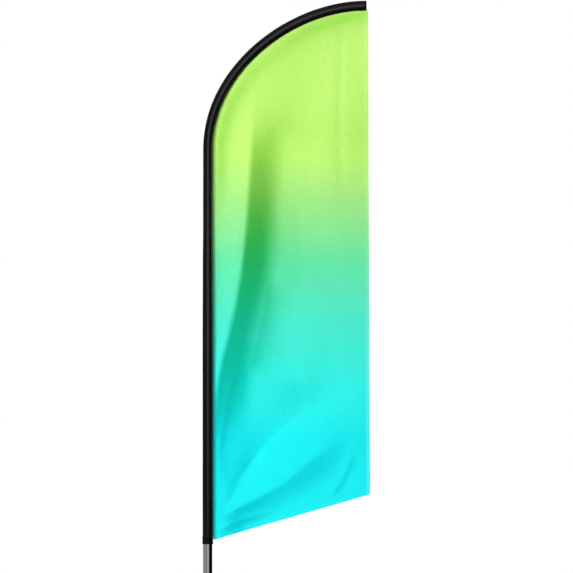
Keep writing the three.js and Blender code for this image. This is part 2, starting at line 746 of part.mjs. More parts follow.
// One bar of the base with its end plugs, feet and foot screws, made along X.
function addLeg(level, length, foot, turn) {
  const leg = new THREE.Group();
  leg.rotation.z = turn;
  banner.add(leg);
  const half = length / 2;
  const middle = foot + legHeight / 2;
  const boreHeight = legHeight - 2 * legWall;
  const boreWidth = legWidth - 2 * legWall;
  const boreCorner = legCorner - legWall / 2;

  const section = roundedOutline(legHeight, legWidth, legCorner);
  section.holes.push(roundedOutline(boreHeight, boreWidth, boreCorner, THREE.Path));
  const bar = barAlongX(section, -half, half).translate(0, 0, middle);
  const spindleHole = disc(spindleRadius + gap, foot - 1, foot + legHeight + 1);
  const footX = half - footInset;
  const screwHoles = [-footX, footX].map((x) =>
    disc(footScrewRadius + gap, foot - 1, foot + legWall + 1, rodSides).translate(x, 0, 0),
  );
  add(`${level}_leg`, cut(bar, spindleHole, ...screwHoles), finish.paint, leg);

  for (const [end, side] of [["left", -1], ["right", 1]]) {
    const flange = barAlongX(roundedOutline(legHeight, legWidth, legCorner), gap, gap + endPlugFlange);
    const plugHeight = boreHeight - 2 * gap;
    const plugWidth = boreWidth - 2 * gap;
    const body = barAlongX(roundedOutline(plugHeight, plugWidth, boreCorner), -endPlugDepth, gap + 1);
    const plug = join(flange, body).rotateZ(side < 0 ? Math.PI : 0);
    add(`${level}_leg_${end}_end_plug`, plug.translate(side * half, 0, middle), finish.plastic, leg);

    const padTop = foot - gap;
    const seat = padTop - footSeat;
    const pad = turned([
      [footScrewHead + gap, 0],
      [footRadius - 1, 0],
      [footRadius, 1],
      [footRadius - 1.5, padTop],
      [footScrewRadius + gap, padTop],
      [footScrewRadius + gap, seat],
      [footScrewHead + gap, seat],
    ]);
    add(`${level}_leg_${end}_foot`, pad.translate(side * footX, 0, 0), finish.rubber, leg);

    const headTop = seat - gap;
    const screw = turned(
      [
        [0, headTop - 1.8],
        [footScrewHead, headTop - 1.8],
        [footScrewHead, headTop],
        [footScrewRadius, headTop],
        [footScrewRadius, headTop + footSeat + footScrewGrip],
        [0, headTop + footSeat + footScrewGrip],
      ],
      rodSides,
    );
    add(`${level}_leg_${end}_screw`, screw.translate(side * footX, 0, 0), finish.steel, leg);
  }
}

function addBase() {
  addLeg("lower", lowerLegLength, lowerLegZ, legTurn);
  addLeg("upper", upperLegLength, upperLegZ, -legTurn);
  const padTop = lowerLegZ - gap;
  const recess = padTop - spindleFlange - gap;
  const pad = turned([
    [0, 0],
    [hubFootRadius - 1, 0],
    [hubFootRadius, 1],
    [hubFootRadius, padTop],
    [spindleFlangeRadius + gap, padTop],
    [spindleFlangeRadius + gap, recess],
    [0, recess],
  ]);
  add("hub_foot", pad, finish.rubber);
}

addMast();
addSleeve();
addPanel();
addCollar();
addTensionTab();
addRotator();
addBearings();
addSnapButton();
addSpindle();
addLegLock();
addBase();

export default banner;
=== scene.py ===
# A feather banner on a folding cross base: a bent mast in a black pole sleeve, a printed cloth
# panel drawn tight from the sleeve's foot, a tension collar, and a ball-bearing rotator.
# Metres, +Z up. The banner reaches from its mast along +X, and its front faces -Y.

import json
import math

import bmesh
import bpy
import numpy as np
from bpy.props import FloatProperty, FloatVectorProperty, IntProperty, PointerProperty
from mathutils import Matrix, Vector, noise


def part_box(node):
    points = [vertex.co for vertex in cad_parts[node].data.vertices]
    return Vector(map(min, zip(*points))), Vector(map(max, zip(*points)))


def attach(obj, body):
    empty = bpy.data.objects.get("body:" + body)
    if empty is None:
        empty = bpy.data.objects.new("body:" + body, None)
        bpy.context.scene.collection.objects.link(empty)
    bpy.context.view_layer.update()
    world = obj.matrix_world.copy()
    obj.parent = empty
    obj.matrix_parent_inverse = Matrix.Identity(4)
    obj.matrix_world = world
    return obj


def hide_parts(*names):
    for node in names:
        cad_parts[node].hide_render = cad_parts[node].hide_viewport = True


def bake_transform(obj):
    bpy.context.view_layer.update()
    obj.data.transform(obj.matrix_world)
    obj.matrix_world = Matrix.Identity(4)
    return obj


bl_info = {
    "name": "Feather banner",
    "version": (1, 0, 0),
    "blender": (4, 5, 0),
    "location": "3D View > Sidebar > Banner",
    "description": "Makes a feather banner with its cloth, mast, rotator and cross base",
    "category": "Add Mesh",
}

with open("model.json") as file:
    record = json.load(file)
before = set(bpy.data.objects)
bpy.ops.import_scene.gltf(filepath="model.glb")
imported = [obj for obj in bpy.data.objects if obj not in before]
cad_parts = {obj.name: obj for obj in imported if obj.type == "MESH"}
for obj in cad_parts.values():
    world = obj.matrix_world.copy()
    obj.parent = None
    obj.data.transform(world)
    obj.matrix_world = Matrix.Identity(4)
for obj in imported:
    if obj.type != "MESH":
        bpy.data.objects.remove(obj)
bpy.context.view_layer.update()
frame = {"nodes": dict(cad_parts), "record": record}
MM = 0.001


def linear(red, green, blue):
    """A display colour, 0 to 255 in each channel, as linear values."""
    channels = [channel / 255 for channel in (red, green, blue)]
    return tuple(c / 12.92 if c <= 0.04045 else ((c + 0.055) / 1.055) ** 2.4 for c in channels)


def number_property(name, description, default, **settings):
    return FloatProperty(name=name, description=description, default=default, **settings)


def length_property(name, description, default):
    settings = {"min": 0.0, "unit": "LENGTH", "subtype": "DISTANCE", "precision": 5}
    return number_property(name, description, default, **settings)


def colour_property(name, description, default):
    return FloatVectorProperty(
        name=name, description=description, default=default, size=3, min=0.0, max=1.0, subtype="COLOR"
    )


# ------------------------------------------------------------------ sizes and colours


class BannerClothSizes(bpy.types.PropertyGroup):
    hem_width: length_property("Hem width", "Width of the turned and stitched hem", 0.012)
    thickness: length_property("Thickness", "Thickness of one layer of the knitted cloth", 0.0006)
    pleat_height: length_property("Pleat height", "How far the long pleat stands towards the front", 0.0034)
    pleat_drop: length_property("Pleat drop", "How far the cloth falls back behind the pleat", 0.035)
    pleat_tail: length_property("Pleat tail", "How far the cloth falls on to its free edge", 0.010)
    crease_height: length_property("Crease height", "Height of the creases from the lower corner", 0.0062)
    # Painted shade: how strongly the ink is darkened towards its own square where the cloth turns away from
    # the key light
    fold_shade: number_property("Fold shade", "How much deeper the ink looks in a fold", 2.4)
    stitch_pitch: length_property("Stitch pitch", "Distance from one stitch to the next", 0.0034)
    lime: colour_property("Lime", "Ink at the top of the panel", linear(206, 253, 128))
    leaf: colour_property("Leaf", "Ink where the lime begins to turn", linear(170, 240, 142))
    mint: colour_property("Mint", "Ink above the middle of the panel", linear(110, 236, 176))
    sea: colour_property("Sea", "Ink below the middle of the panel", linear(80, 239, 211))
    aqua: colour_property("Aqua", "Ink above the creases", linear(55, 243, 233))
    cyan: colour_property("Cyan", "Ink at the foot of the panel", linear(26, 240, 244))


class BannerSleeveSizes(bpy.types.PropertyGroup):
    thickness: length_property("Thickness", "Thickness of the stretch cloth", 0.0008)
    ripple: length_property("Ripple", "Height of the shallow ripples along the sleeve", 0.00035)
    colour: colour_property("Colour", "Colour of the sleeve's cloth", (0.0014, 0.0014, 0.0015))
    seam_height: length_property("Seam height", "Height of the two raised seams along the sleeve", 0.0008)


class BannerBaseSizes(bpy.types.PropertyGroup):
    edge: length_property("Edge", "Width of the rounded edges of the metal and plastic pieces", 0.0005)
    knob_radius: length_property("Knob radius", "Radius of the leg lock's knob", 0.029)
    knob_lobe: length_property("Knob lobe", "How far each lobe of the knob stands out", 0.0026)
    tread_count: IntProperty(
        name="Tread count", description="Ribs round each rubber foot", default=28, min=6
    )


class BannerStageSizes(bpy.types.PropertyGroup):
    frame_width: length_property("Frame width", "Width of the view at the banner", 2.0055)
    distance: length_property("Distance", "From the camera to the banner", 14.0)
    centre_x: number_property("Centre X", "Middle of the view along X", 0.2758, unit="LENGTH")
    centre_z: number_property("Centre Z", "Middle of the view along Z", 1.3008, unit="LENGTH")
    floor_radius: length_property("Floor radius", "Radius of the pale floor", 2.6)
    light: number_property("Light", "Strength of the studio's soft boxes", 0.75, min=0.0)
    key_power: number_property("Key", "Power of the key light on the left", 368.0, unit="POWER")
    fill_power: number_property("Fill", "Power of the fill light on the right", 30.0, unit="POWER")
    top_power: number_property("Top", "Power of the soft light over the floor", 120.0, unit="POWER")


# ------------------------------------------------------------------ the mast's line

MAST_STRAIGHT = 1.7835
BEND_RISE = 0.5015
BEND_REACH = 0.5558
RISE_HANDLE = 0.549
REACH_HANDLE = 0.482
SLEEVE_FOOT = 0.4245
SLEEVE_RADIUS = 0.0177
SLEEVE_TOP_RADIUS = 0.0159
SLEEVE_TIP_HALF = 0.0086
SLEEVE_TAPER = (1.150, 1.650)
POCKET_LENGTH = 0.009
SEAM_ANGLE = math.radians(129)


def bezier_points(shares):
    corners = np.array(
        [
            [0, MAST_STRAIGHT],
            [0, MAST_STRAIGHT + RISE_HANDLE * BEND_RISE],
            [BEND_REACH * (1 - REACH_HANDLE), MAST_STRAIGHT + BEND_RISE],
            [BEND_REACH, MAST_STRAIGHT + BEND_RISE],
        ]
    )
    t = np.asarray(shares)[:, None]
    weights = [(1 - t) ** 3, 3 * t * (1 - t) ** 2, 3 * t**2 * (1 - t), t**3]
    return sum(weight * corner for weight, corner in zip(weights, corners))


BEND_SAMPLES = bezier_points(np.linspace(0, 1, 1201))
BEND_LENGTHS = np.concatenate([[0], np.cumsum(np.linalg.norm(np.diff(BEND_SAMPLES, axis=0), axis=1))])
MAST_LENGTH = MAST_STRAIGHT + BEND_LENGTHS[-1]


def mast_points(along):
    """X and Z at each length along the mast."""
    along = np.asarray(along, float)
    past = np.clip(along - MAST_STRAIGHT, 0, BEND_LENGTHS[-1])
    x = np.interp(past, BEND_LENGTHS, BEND_SAMPLES[:, 0])
    z = np.where(along <= MAST_STRAIGHT, along, np.interp(past, BEND_LENGTHS, BEND_SAMPLES[:, 1]))
    return x, z


def mast_inward(along):
    """The direction in X and Z that faces the cloth, at each length along the mast."""
    along = np.asarray(along, float)
    x0, z0 = mast_points(along - 0.001)
    x1, z1 = mast_points(np.minimum(along + 0.001, MAST_LENGTH))
    dx, dz = x1 - x0, z1 - z0
    size = np.hypot(dx, dz)
    return dz / size, -dx / size


def smoothstep(low, high, value):
    t = np.clip((np.asarray(value, float) - low) / (high - low), 0, 1)
    return t * t * (3 - 2 * t)


def sleeve_half_width(along):
    share = smoothstep(*SLEEVE_TAPER, along)
    return SLEEVE_RADIUS + (SLEEVE_TOP_RADIUS - SLEEVE_RADIUS) * share


def sleeve_flatness(along):
    share = np.clip((np.asarray(along, float) - MAST_STRAIGHT) / (MAST_LENGTH - MAST_STRAIGHT), 0, 1)
    return 1 + (SLEEVE_TIP_HALF / SLEEVE_TOP_RADIUS - 1) * share


# ------------------------------------------------------------------ making meshes


def linked(name, data):
    made = bpy.data.objects.new(name, data)
    bpy.context.scene.collection.objects.link(made)
    return made


def object_from(name, vertices, faces=(), edges=()):
    mesh = bpy.data.meshes.new(name)
    mesh.from_pydata([tuple(map(float, vertex)) for vertex in vertices], edges, faces)
    mesh.update()
    return linked(name, mesh)


def grid_faces(rows, columns, round_columns=False, round_rows=False):
    """Faces between rows of vertices. A round direction's last vertex meets its first."""
    faces = []
    for row in range(rows if round_rows else rows - 1):
        low, high = row * columns, (row + 1) % rows * columns
        for column in range(columns if round_columns else columns - 1):
            beside = (column + 1) % columns
            faces.append((low + column, low + beside, high + beside, high + column))
    return faces


def clean(piece):
    """Merges a closed mesh's doubles and turns its faces outwards."""
    work = bmesh.new()
    work.from_mesh(piece.data)
    bmesh.ops.remove_doubles(work, verts=work.verts, dist=1e-6)
    bmesh.ops.dissolve_degenerate(work, edges=work.edges, dist=1e-7)
    bmesh.ops.recalc_face_normals(work, faces=work.faces)
    work.to_mesh(piece.data)
    work.free()
    return piece


def smooth(piece, angle=40):
    piece.data.shade_smooth()
    piece.data.set_sharp_from_angle(angle=math.radians(angle))
    return piece


def applied(piece):
    """Turns the modifiers' result into the piece's own mesh."""
    bpy.context.view_layer.update()
    evaluated = piece.evaluated_get(bpy.context.evaluated_depsgraph_get())
    mesh = bpy.data.meshes.new_from_object(evaluated)
    piece.modifiers.clear()
    piece.data = mesh
    mesh.name = piece.name
    return piece


def thickened(piece, thickness, offset=0, group=""):
    solid = piece.modifiers.new("Thickness", "SOLIDIFY")
    solid.thickness = thickness
    solid.offset = offset
    solid.vertex_group = group
    return clean(applied(piece))


def bevelled(piece, width, segments=2):
    bevel = piece.modifiers.new("Rounded edges", "BEVEL")
    bevel.width = width
    bevel.segments = segments
    bevel.limit_method = "ANGLE"
    bevel.angle_limit = math.radians(35)
    return smooth(applied(piece))


def turned(name, profile, facets=96, at=(0, 0, 0), axis="Z"):
    """A turned piece: a closed outline of [radius, height] spun about its own axis."""
    count = len(profile)
    vertices, faces = [], []
    for i in range(facets):
        angle = 2 * math.pi * i / facets
        x, y = math.cos(angle), math.sin(angle)
        vertices += [(radius * x, radius * y, height) for radius, height in profile]
        j = (i + 1) % facets
        for k in range(count):
            m = (k + 1) % count
            if profile[k][0] != 0 or profile[m][0] != 0:
                faces.append((i * count + k, j * count + k, j * count + m, i * count + m))
    piece = object_from(name, vertices, faces)
    turn = Matrix.Rotation(math.radians(90 if axis == "Y" else 0), 4, "X")
    piece.data.transform(Matrix.Translation(at) @ turn)
    return clean(piece)


def disc(radius, foot, top, bore=0):
    """The outline of a plain disc, or of a ring with a bore."""
    return [(bore, foot), (radius, foot), (radius, top), (bore, top)]


def pin(name, profile, facets, at):
    """A turned piece that lies along +Y from the place given."""
    return turned(name, [(radius, -along) for radius, along in profile], facets, at, "Y")


def ringed(name, levels, around, radius_at, centre_x=0.0):
    """A closed shell through a ring at each [radius, height], with its radius shaped by angle."""
    vertices = []
    for level, height in levels:
        for i in range(around):
            angle = 2 * math.pi * i / around
            radius = radius_at(level, height, angle)
            vertices.append((centre_x + radius * math.cos(angle), radius * math.sin(angle), height))
    return clean(object_from(name, vertices, grid_faces(len(levels), around, True, True)))


def combined(piece, other, operation):
    """Cuts the other piece away from this one, or joins it on."""
    modifier = piece.modifiers.new("Combined", "BOOLEAN")
    modifier.operation = operation
    modifier.solver = "EXACT"
    modifier.object = other
    applied(piece)
    bpy.data.objects.remove(other)
    return piece


def drilled(piece, radius, start, end, facets, at=(0, 0, 0), axis="Y"):
    """Drills a round hole from start to end, measured along the axis from the place given."""
    drill = turned("drill", disc(radius, start, end), facets, at, axis)
    return combined(piece, drill, "DIFFERENCE")


def faced(piece, finish):
    piece.data.materials.clear()
    piece.data.materials.append(finishes[finish])
    return piece


def place(piece, body, slot, *replaced, finish=None):
    """Gives a finished piece its finish, its body and the CAD nodes that it stands for."""
    faced(piece, finish or slot)
    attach(piece, body)
    if replaced:
        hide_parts(*replaced)
    return piece


def node_bounds(node):
    low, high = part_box(node)
    return Vector(low), Vector(high)


def middle_height(node):
    low, high = node_bounds(node)
    return (low.z + high.z) / 2


# ------------------------------------------------------------------ finishes


class Nodes:
    """Makes and links the nodes of one tree. A value given to a node may be another's output."""

    def __init__(self, tree):
        self.tree = tree

    def node(self, kind, **settings):
        made = self.tree.nodes.new(kind)
        for key, value in settings.items():
            setattr(made, key, value)
        return made

    def give(self, socket, value):
        if isinstance(value, bpy.types.NodeSocket):
            self.tree.links.new(value, socket)
        elif socket.type == "RGBA":
            socket.default_value = (*value, 1)
        else:
            socket.default_value = value

    def fed(self, kind, inputs, **settings):
        """A new node with its named inputs given."""
        made = self.node(kind, **settings)
        for name, value in inputs.items():
            self.give(made.inputs[name], value)
        return made

    def split(self, vector):
        return self.fed("ShaderNodeSeparateXYZ", {"Vector": vector}).outputs

    def ranged(self, source, low, high, from_low=0.0, from_high=1.0, **settings):
        inputs = {"From Min": from_low, "From Max": from_high, "To Min": low, "To Max": high}
        spread = self.fed("ShaderNodeMapRange", {"Value": source, **inputs}, **settings)
        return spread.outputs["Result"]

    def maths(self, operation, *values):
        sums = self.node("ShaderNodeMath", operation=operation)
        for socket, value in zip(sums.inputs, values):
            self.give(socket, value)
        return sums.outputs[0]

    def blended(self, share, first, second, mode="MIX"):
        mix = self.node("ShaderNodeMix", data_type="RGBA", blend_type=mode)
        for index, value in ((0, share), (6, first), (7, second)):
            self.give(mix.inputs[index], value)
        return mix.outputs[2]

    def mixed(self, share, first, second):
        mix = self.node("ShaderNodeMixShader")
        for socket, value in zip(mix.inputs, (share, first, second)):
            self.give(socket, value)
        return mix.outputs[0]

    def ramp(self, source, stops):
        """A colour ramp through each position and colour."""
        ramp = self.fed("ShaderNodeValToRGB", {"Fac": source})
        elements = ramp.color_ramp.elements
        while len(elements) < len(stops):
            elements.new(0.5)
        for element, (position, colour) in zip(elements, stops):
            element.position = position
            element.color = (*colour, 1)
        return ramp.outputs["Color"]


class Finish(Nodes):
    """A node material that starts from one Principled shader."""

    def __init__(self, name, colour, roughness, metallic=0.0):
        self.material = bpy.data.materials.new(name)
        self.material.use_nodes = True
        super().__init__(self.material.node_tree)
        self.shader = self.tree.nodes["Principled BSDF"]
        self.coordinates = self.node("ShaderNodeTexCoord").outputs["Object"]
        self.set("Base Color", colour).set("Roughness", roughness).set("Metallic", metallic)

    def set(self, socket, value):
        self.give(self.shader.inputs[socket], value)
        return self

    def stretched(self, scale):
        inputs = {"Vector": self.coordinates, "Scale": scale}
        return self.fed("ShaderNodeMapping", inputs).outputs["Vector"]

    def speckle(self, scale, detail=3.0, vector=None, roughness=0.55):
        inputs = {
            "Vector": vector or self.coordinates,
            "Scale": scale,
            "Detail": detail,
            "Roughness": roughness,
        }
        return self.fed("ShaderNodeTexNoise", inputs).outputs["Fac"]

    def waves(self, inputs, **settings):
        settings = {"wave_type": "BANDS", "wave_profile": "SIN", **settings}
        return self.fed("ShaderNodeTexWave", inputs, **settings).outputs["Fac"]

    def attribute(self, name):
        return self.node("ShaderNodeAttribute", attribute_name=name).outputs["Fac"]

    def mottled(self, pattern, low, high, colour, other):
        """Goes from one colour to the other as the pattern goes from low to high."""
        return self.set("Base Color", self.blended(self.ranged(pattern, 0, 1, low, high), colour, other))

    def bumped(self, height, strength, distance):
        inputs = {"Height": height, "Strength": strength, "Distance": distance}
        return self.set("Normal", self.fed("ShaderNodeBump", inputs).outputs["Normal"])


finishes = {}


def knit(finish, pitch):
    """Height of a warp-knitted cloth: crossed ribs that lie in the plane of the banner."""
    inputs = {
        "Vector": finish.coordinates,
        "Scale": 0.314 / pitch,
        "Distortion": 0.6,
        "Detail": 1.0,
        "Detail Scale": 2.0,
    }
    return finish.maths("MULTIPLY", *(finish.waves(inputs, bands_direction=axis) for axis in "XZ"))


def banner_ink(finish, cloth):
    """The printed gradient, from lime at the top to cyan at the foot."""
    drift = finish.ranged(finish.speckle(2.2, 1.0), -0.02, 0.02)
    level = finish.maths("ADD", finish.split(finish.coordinates)["Z"], drift)
    foot, head = 0.70, 1.80
    heights = (0.76, 0.97, 1.18, 1.39, 1.60, 1.76)
    inks = (cloth.cyan, cloth.aqua, cloth.sea, cloth.mint, cloth.leaf, cloth.lime)
    stops = [((height - foot) / (head - foot), ink) for height, ink in zip(heights, inks)]
    return finish.ramp(finish.ranged(level, 0, 1, foot, head), stops)


def make_cloth_finish(cloth):
    finish = Finish("Printed flag cloth", (0.4, 0.8, 0.6), 0.86)
    ink = banner_ink(finish, cloth)
    grain = finish.speckle(420.0, 2.0)
    blotch = finish.speckle(90.0, 3.0)
    # Painted shade: where the fold attribute marks cloth turned away from the key light, the ink goes
    # towards its own square, darker and more saturated
    ink = finish.blended(finish.attribute("fold"), ink, finish.blended(1.0, ink, ink, "MULTIPLY"))
    worn = finish.maths("ADD", finish.ranged(grain, -0.07, 0.07), finish.ranged(blotch, -0.06, 0.06))
    tone = finish.fed("ShaderNodeHueSaturation", {"Value": finish.maths("ADD", worn, 1.0), "Color": ink})
    lightened = finish.ranged(finish.attribute("hem"), 0.0, 0.15)
    pale = finish.blended(lightened, tone.outputs["Color"], (0.9, 1.0, 0.92))
    finish.set("Base Color", pale)
    finish.set("Roughness", finish.ranged(blotch, 0.78, 0.92))
    finish.set("Sheen Weight", 0.12).set("Sheen Roughness", 0.5)
    finish.set("Specular IOR Level", 0.15)
    weave = finish.maths("ADD", knit(finish, 0.0011), finish.maths("MULTIPLY", blotch, 2.0))
    finish.bumped(weave, 0.35, 0.0006)
    glow = finish.fed("ShaderNodeBsdfTranslucent", {"Color": pale})
    thin = finish.mixed(0.22, finish.shader.outputs[0], glow.outputs[0])
    finish.give(finish.tree.nodes["Material Output"].inputs["Surface"], thin)
    return finish.material


def make_thread_finish(cloth):
    finish = Finish("Hem thread", (0.6, 0.9, 0.7), 0.7)
    pale = finish.blended(0.1, banner_ink(finish, cloth), (0.95, 1.0, 0.95))
    finish.set("Base Color", pale).set("Sheen Weight", 0.2)
    return finish.bumped(finish.speckle(2600.0, 1.0), 0.4, 0.0001).material


def make_sleeve_finish(name, colour, roughness):
    finish = Finish(name, colour, roughness)
    along = finish.speckle(60.0, 4.0, finish.stretched((1.0, 1.0, 0.12)))
    finish.set("Roughness", finish.ranged(along, roughness - 0.06, roughness + 0.08))
    finish.mottled(along, 0.3, 0.7, colour, tuple(min(1.0, c * 1.8) for c in colour))
    finish.set("Sheen Weight", 0.01).set("Sheen Roughness", 0.35)
    # Painted highlight falloff: the specular level falls towards the sleeve's foot, so that its reflections
    # dim low down
    gloss = finish.ranged(finish.split(finish.coordinates)["Z"], 0.35, 0.9, 0.45, 1.25)
    finish.set("IOR", 1.6).set("Specular IOR Level", gloss)
    weave = finish.maths("ADD", knit(finish, 0.0009), finish.speckle(1500.0, 2.0))
    return finish.bumped(weave, 0.14, 0.0003).material


def make_drawn_aluminium():
    finish = Finish("Drawn aluminium", (0.74, 0.74, 0.75), 0.27, 1.0)
    lines = finish.speckle(900.0, 5.0, finish.stretched((1.0, 1.0, 0.006)), 0.7)
    finish.set("Roughness", finish.ranged(lines, 0.1, 0.2, 0.25, 0.75))
    finish.mottled(lines, 0.3, 0.7, (0.66, 0.66, 0.67), (0.82, 0.82, 0.83))
    return finish.bumped(lines, 0.25, 0.00008).material


def make_metal(name, colour, roughness, scratch=240.0):
    finish = Finish(name, colour, roughness, 1.0)
    marks = finish.speckle(scratch, 6.0, roughness=0.65)
    finish.set("Roughness", finish.ranged(marks, roughness * 0.75, roughness * 1.35, 0.3, 0.7))
    finish.mottled(marks, 0.35, 0.7, colour, tuple(c * 0.8 for c in colour))
    return finish.bumped(marks, 0.12, 0.0001).material


def make_moulded(name, colour, roughness, grain=1400.0, depth=0.00012):
    finish = Finish(name, colour, roughness)
    pores = finish.speckle(grain, 3.0)
    cloud = finish.speckle(35.0, 2.0)
    finish.set("Roughness", finish.ranged(cloud, roughness - 0.06, roughness + 0.08, 0.3, 0.7))
    finish.mottled(cloud, 0.4, 0.8, colour, tuple(min(1.0, c * 1.5 + 0.001) for c in colour))
    finish.set("Specular IOR Level", 0.3)
    return finish.bumped(pores, 0.3, depth).material


def make_powder_coat():
    colour, dust = (0.014, 0.014, 0.015), (0.035, 0.034, 0.033)
    finish = Finish("Powder coat", colour, 0.42)
    peel = finish.speckle(520.0, 2.0)
    scuffs = finish.speckle(26.0, 8.0, roughness=0.7)
    finish.set("Roughness", finish.ranged(scuffs, 0.34, 0.56, 0.35, 0.7))
    finish.mottled(scuffs, 0.55, 0.8, colour, dust)
    finish.set("Coat Weight", 0.15).set("Coat Roughness", 0.3)
    return finish.bumped(peel, 0.35, 0.0003).material


def make_fibreglass():
    finish = Finish("Wound fibreglass", (0.02, 0.02, 0.021), 0.4)
    inputs = {"Vector": finish.stretched((0.4, 0.4, 1.0)), "Scale": 140.0, "Distortion": 1.5}
    winding = finish.waves(inputs)
    finish.set("Roughness", finish.ranged(winding, 0.34, 0.5))
    return finish.bumped(winding, 0.2, 0.0002).material


def make_floor():
    finish = Finish("Studio floor", (0.86, 0.86, 0.86), 0.75)
    cloud = finish.speckle(1.2, 3.0)
    finish.set("Base Color", finish.blended(cloud, (0.87, 0.87, 0.87), (0.90, 0.90, 0.90)))
    return finish.material


def make_finishes():
    scene = bpy.context.scene
    cloth = scene.banner_cloth
    finishes.update(
        cloth=make_cloth_finish(cloth),
        thread=make_thread_finish(cloth),
        sleeve=make_sleeve_finish("Stretch satin", tuple(scene.banner_sleeve.colour), 0.28),
        sleeve_thread=make_sleeve_finish("Sleeve thread", (0.02, 0.02, 0.021), 0.45),
        seam=make_sleeve_finish("Seam tape", (0.05, 0.05, 0.052), 0.5),
        aluminium=make_drawn_aluminium(),
        fibreglass=make_fibreglass(),
        plastic=make_moulded("Moulded nylon", (0.0018, 0.0018, 0.002), 0.34),
        rubber=make_moulded("Black rubber", (0.012, 0.012, 0.012), 0.72, 900.0, 0.0002),
        steel=make_metal("Zinc plated steel", (0.62, 0.62, 0.64), 0.32),
        bright=make_metal("Bearing steel", (0.78, 0.78, 0.80), 0.14, 420.0),
        paint=make_powder_coat(),
        brass=make_metal("Satin brass", (0.72, 0.50, 0.20), 0.30),
        nylon=make_moulded("Natural nylon", (0.66, 0.65, 0.60), 0.5),
        floor=make_floor(),
    )


def finish_nodes():
    """Every CAD node that stays in view takes the finish of its material slot."""
    slots = {entry["node"]: entry["material_slot"] for entry in frame["record"]["subparts"]}
    for name, node in frame["nodes"].items():
        for index in range(len(node.data.materials)):
            node.data.materials[index] = finishes[slots[name]]
        if not node.data.materials:
            node.data.materials.append(finishes[slots[name]])


# ------------------------------------------------------------------ the cloth's shape

SEAM_ALLOWANCE = 0.0006
PANEL_CORNER_Z = 0.4137
PANEL_RIGHT_TOP = 0.5618
PANEL_RIGHT_FOOT = 0.5693
FREE_EDGE_FOOT = 0.5732
PANEL_HEAD = MAST_STRAIGHT + BEND_RISE - SLEEVE_TOP_RADIUS
COLLAR_CLEARANCE = 0.0197
CREST_STEPS = 60
CREST_ROUNDING = 4
FALL_END = 1.3
FALL_STEPS = np.linspace(0, FALL_END, 200)

# The crest of the long pleat from foot to head, as X and Z in millimetres.
PLEAT_CREST = [
    (-60, 370), (-50, 480), (-40, 590), (-28, 690), (-10, 800), (10, 903),
    (33, 1008), (59, 1113), (86, 1218), (107, 1323), (118, 1428), (127, 1533),
    (136, 1633), (142, 1743), (144, 1850), (146, 1960), (148, 2070), (150, 2180),
]  # fmt: skip

# Each fold's crest, its height and drop as shares of the crease height, and how wide it rises,
# falls and comes back, in millimetres.
FOLDS = [
    # The narrow crease that leaves the corner steeply.
    (
        [(18, 490), (70, 600), (148, 715), (215, 800), (270, 860)],
        (0.12, 0.1),
        ((14, 50), (16, 46), (60, 90)),
    ),
    # The broad ridge across the foot, with the deep valley under it.
    (
        [(45, 500), (90, 520), (151, 550), (275, 622), (350, 692), (430, 755), (480, 800)],
        (0.8, 1.25),
        ((20, 80), (26, 130), (60, 120)),
    ),
    # The soft crease between them.
    (
        [(20, 500), (70, 570), (125, 650), (175, 715), (240, 770), (310, 815)],
        (0.1, 0.08),
        ((10, 30), (12, 34), (40, 60)),
    ),
    # The short ridge just above the lower hem.
    (
        [(18, 438), (60, 458), (113, 483), (183, 504), (260, 522)],
        (0.36, 0.3),
        ((12, 22), (12, 26), (24, 30)),
    ),
    # The faint crease by the free corner.
    (
        [(415, 545), (462, 612), (496, 680), (512, 745)],
        (0.18, 0.16),
        ((18, 24), (16, 24), (20, 24)),
    ),
    # The narrow ridge beside the long pleat, low down.
    (
        [(36, 690), (46, 770), (62, 870), (84, 970), (104, 1050)],
        (0.16, 0.06),
        ((8, 16), (12, 20), (16, 30)),
    ),
    # The soft shoulder on the right of the long pleat, low down.
    (
        [(134, 980), (154, 1060), (176, 1150), (198, 1250), (210, 1350)],
        (0.0, 1.0),
        ((10, 10), (70, 60), (90, 90)),
    ),
    # The broad soft trough above the creases, which runs out to the free edge.
    (
        [(50, 545), (160, 700), (222, 782), (300, 852), (430, 918), (560, 950)],
        (-0.66, -0.45),
        ((16, 112), (24, 100), (60, 120)),
    ),
]


def panel_left(share):
    """The cloth's edge along the sleeve, from its foot to the top corner."""
    share = np.asarray(share, float)
    along = PANEL_CORNER_Z + share * (MAST_LENGTH - PANEL_CORNER_Z)
    x, z = mast_points(along)
    in_x, in_z = mast_inward(along)
    offset = sleeve_half_width(along) - SEAM_ALLOWANCE
    past_collar = smoothstep(SLEEVE_FOOT + 0.005, SLEEVE_FOOT, along)
    offset = offset + (COLLAR_CLEARANCE - offset) * past_collar
    return x + in_x * offset, z + in_z * offset


def panel_right(share):
    share = np.asarray(share, float)
    x = PANEL_RIGHT_FOOT + (PANEL_RIGHT_TOP - PANEL_RIGHT_FOOT) * share
    z = FREE_EDGE_FOOT + (PANEL_HEAD - FREE_EDGE_FOOT) * share
    return x, z


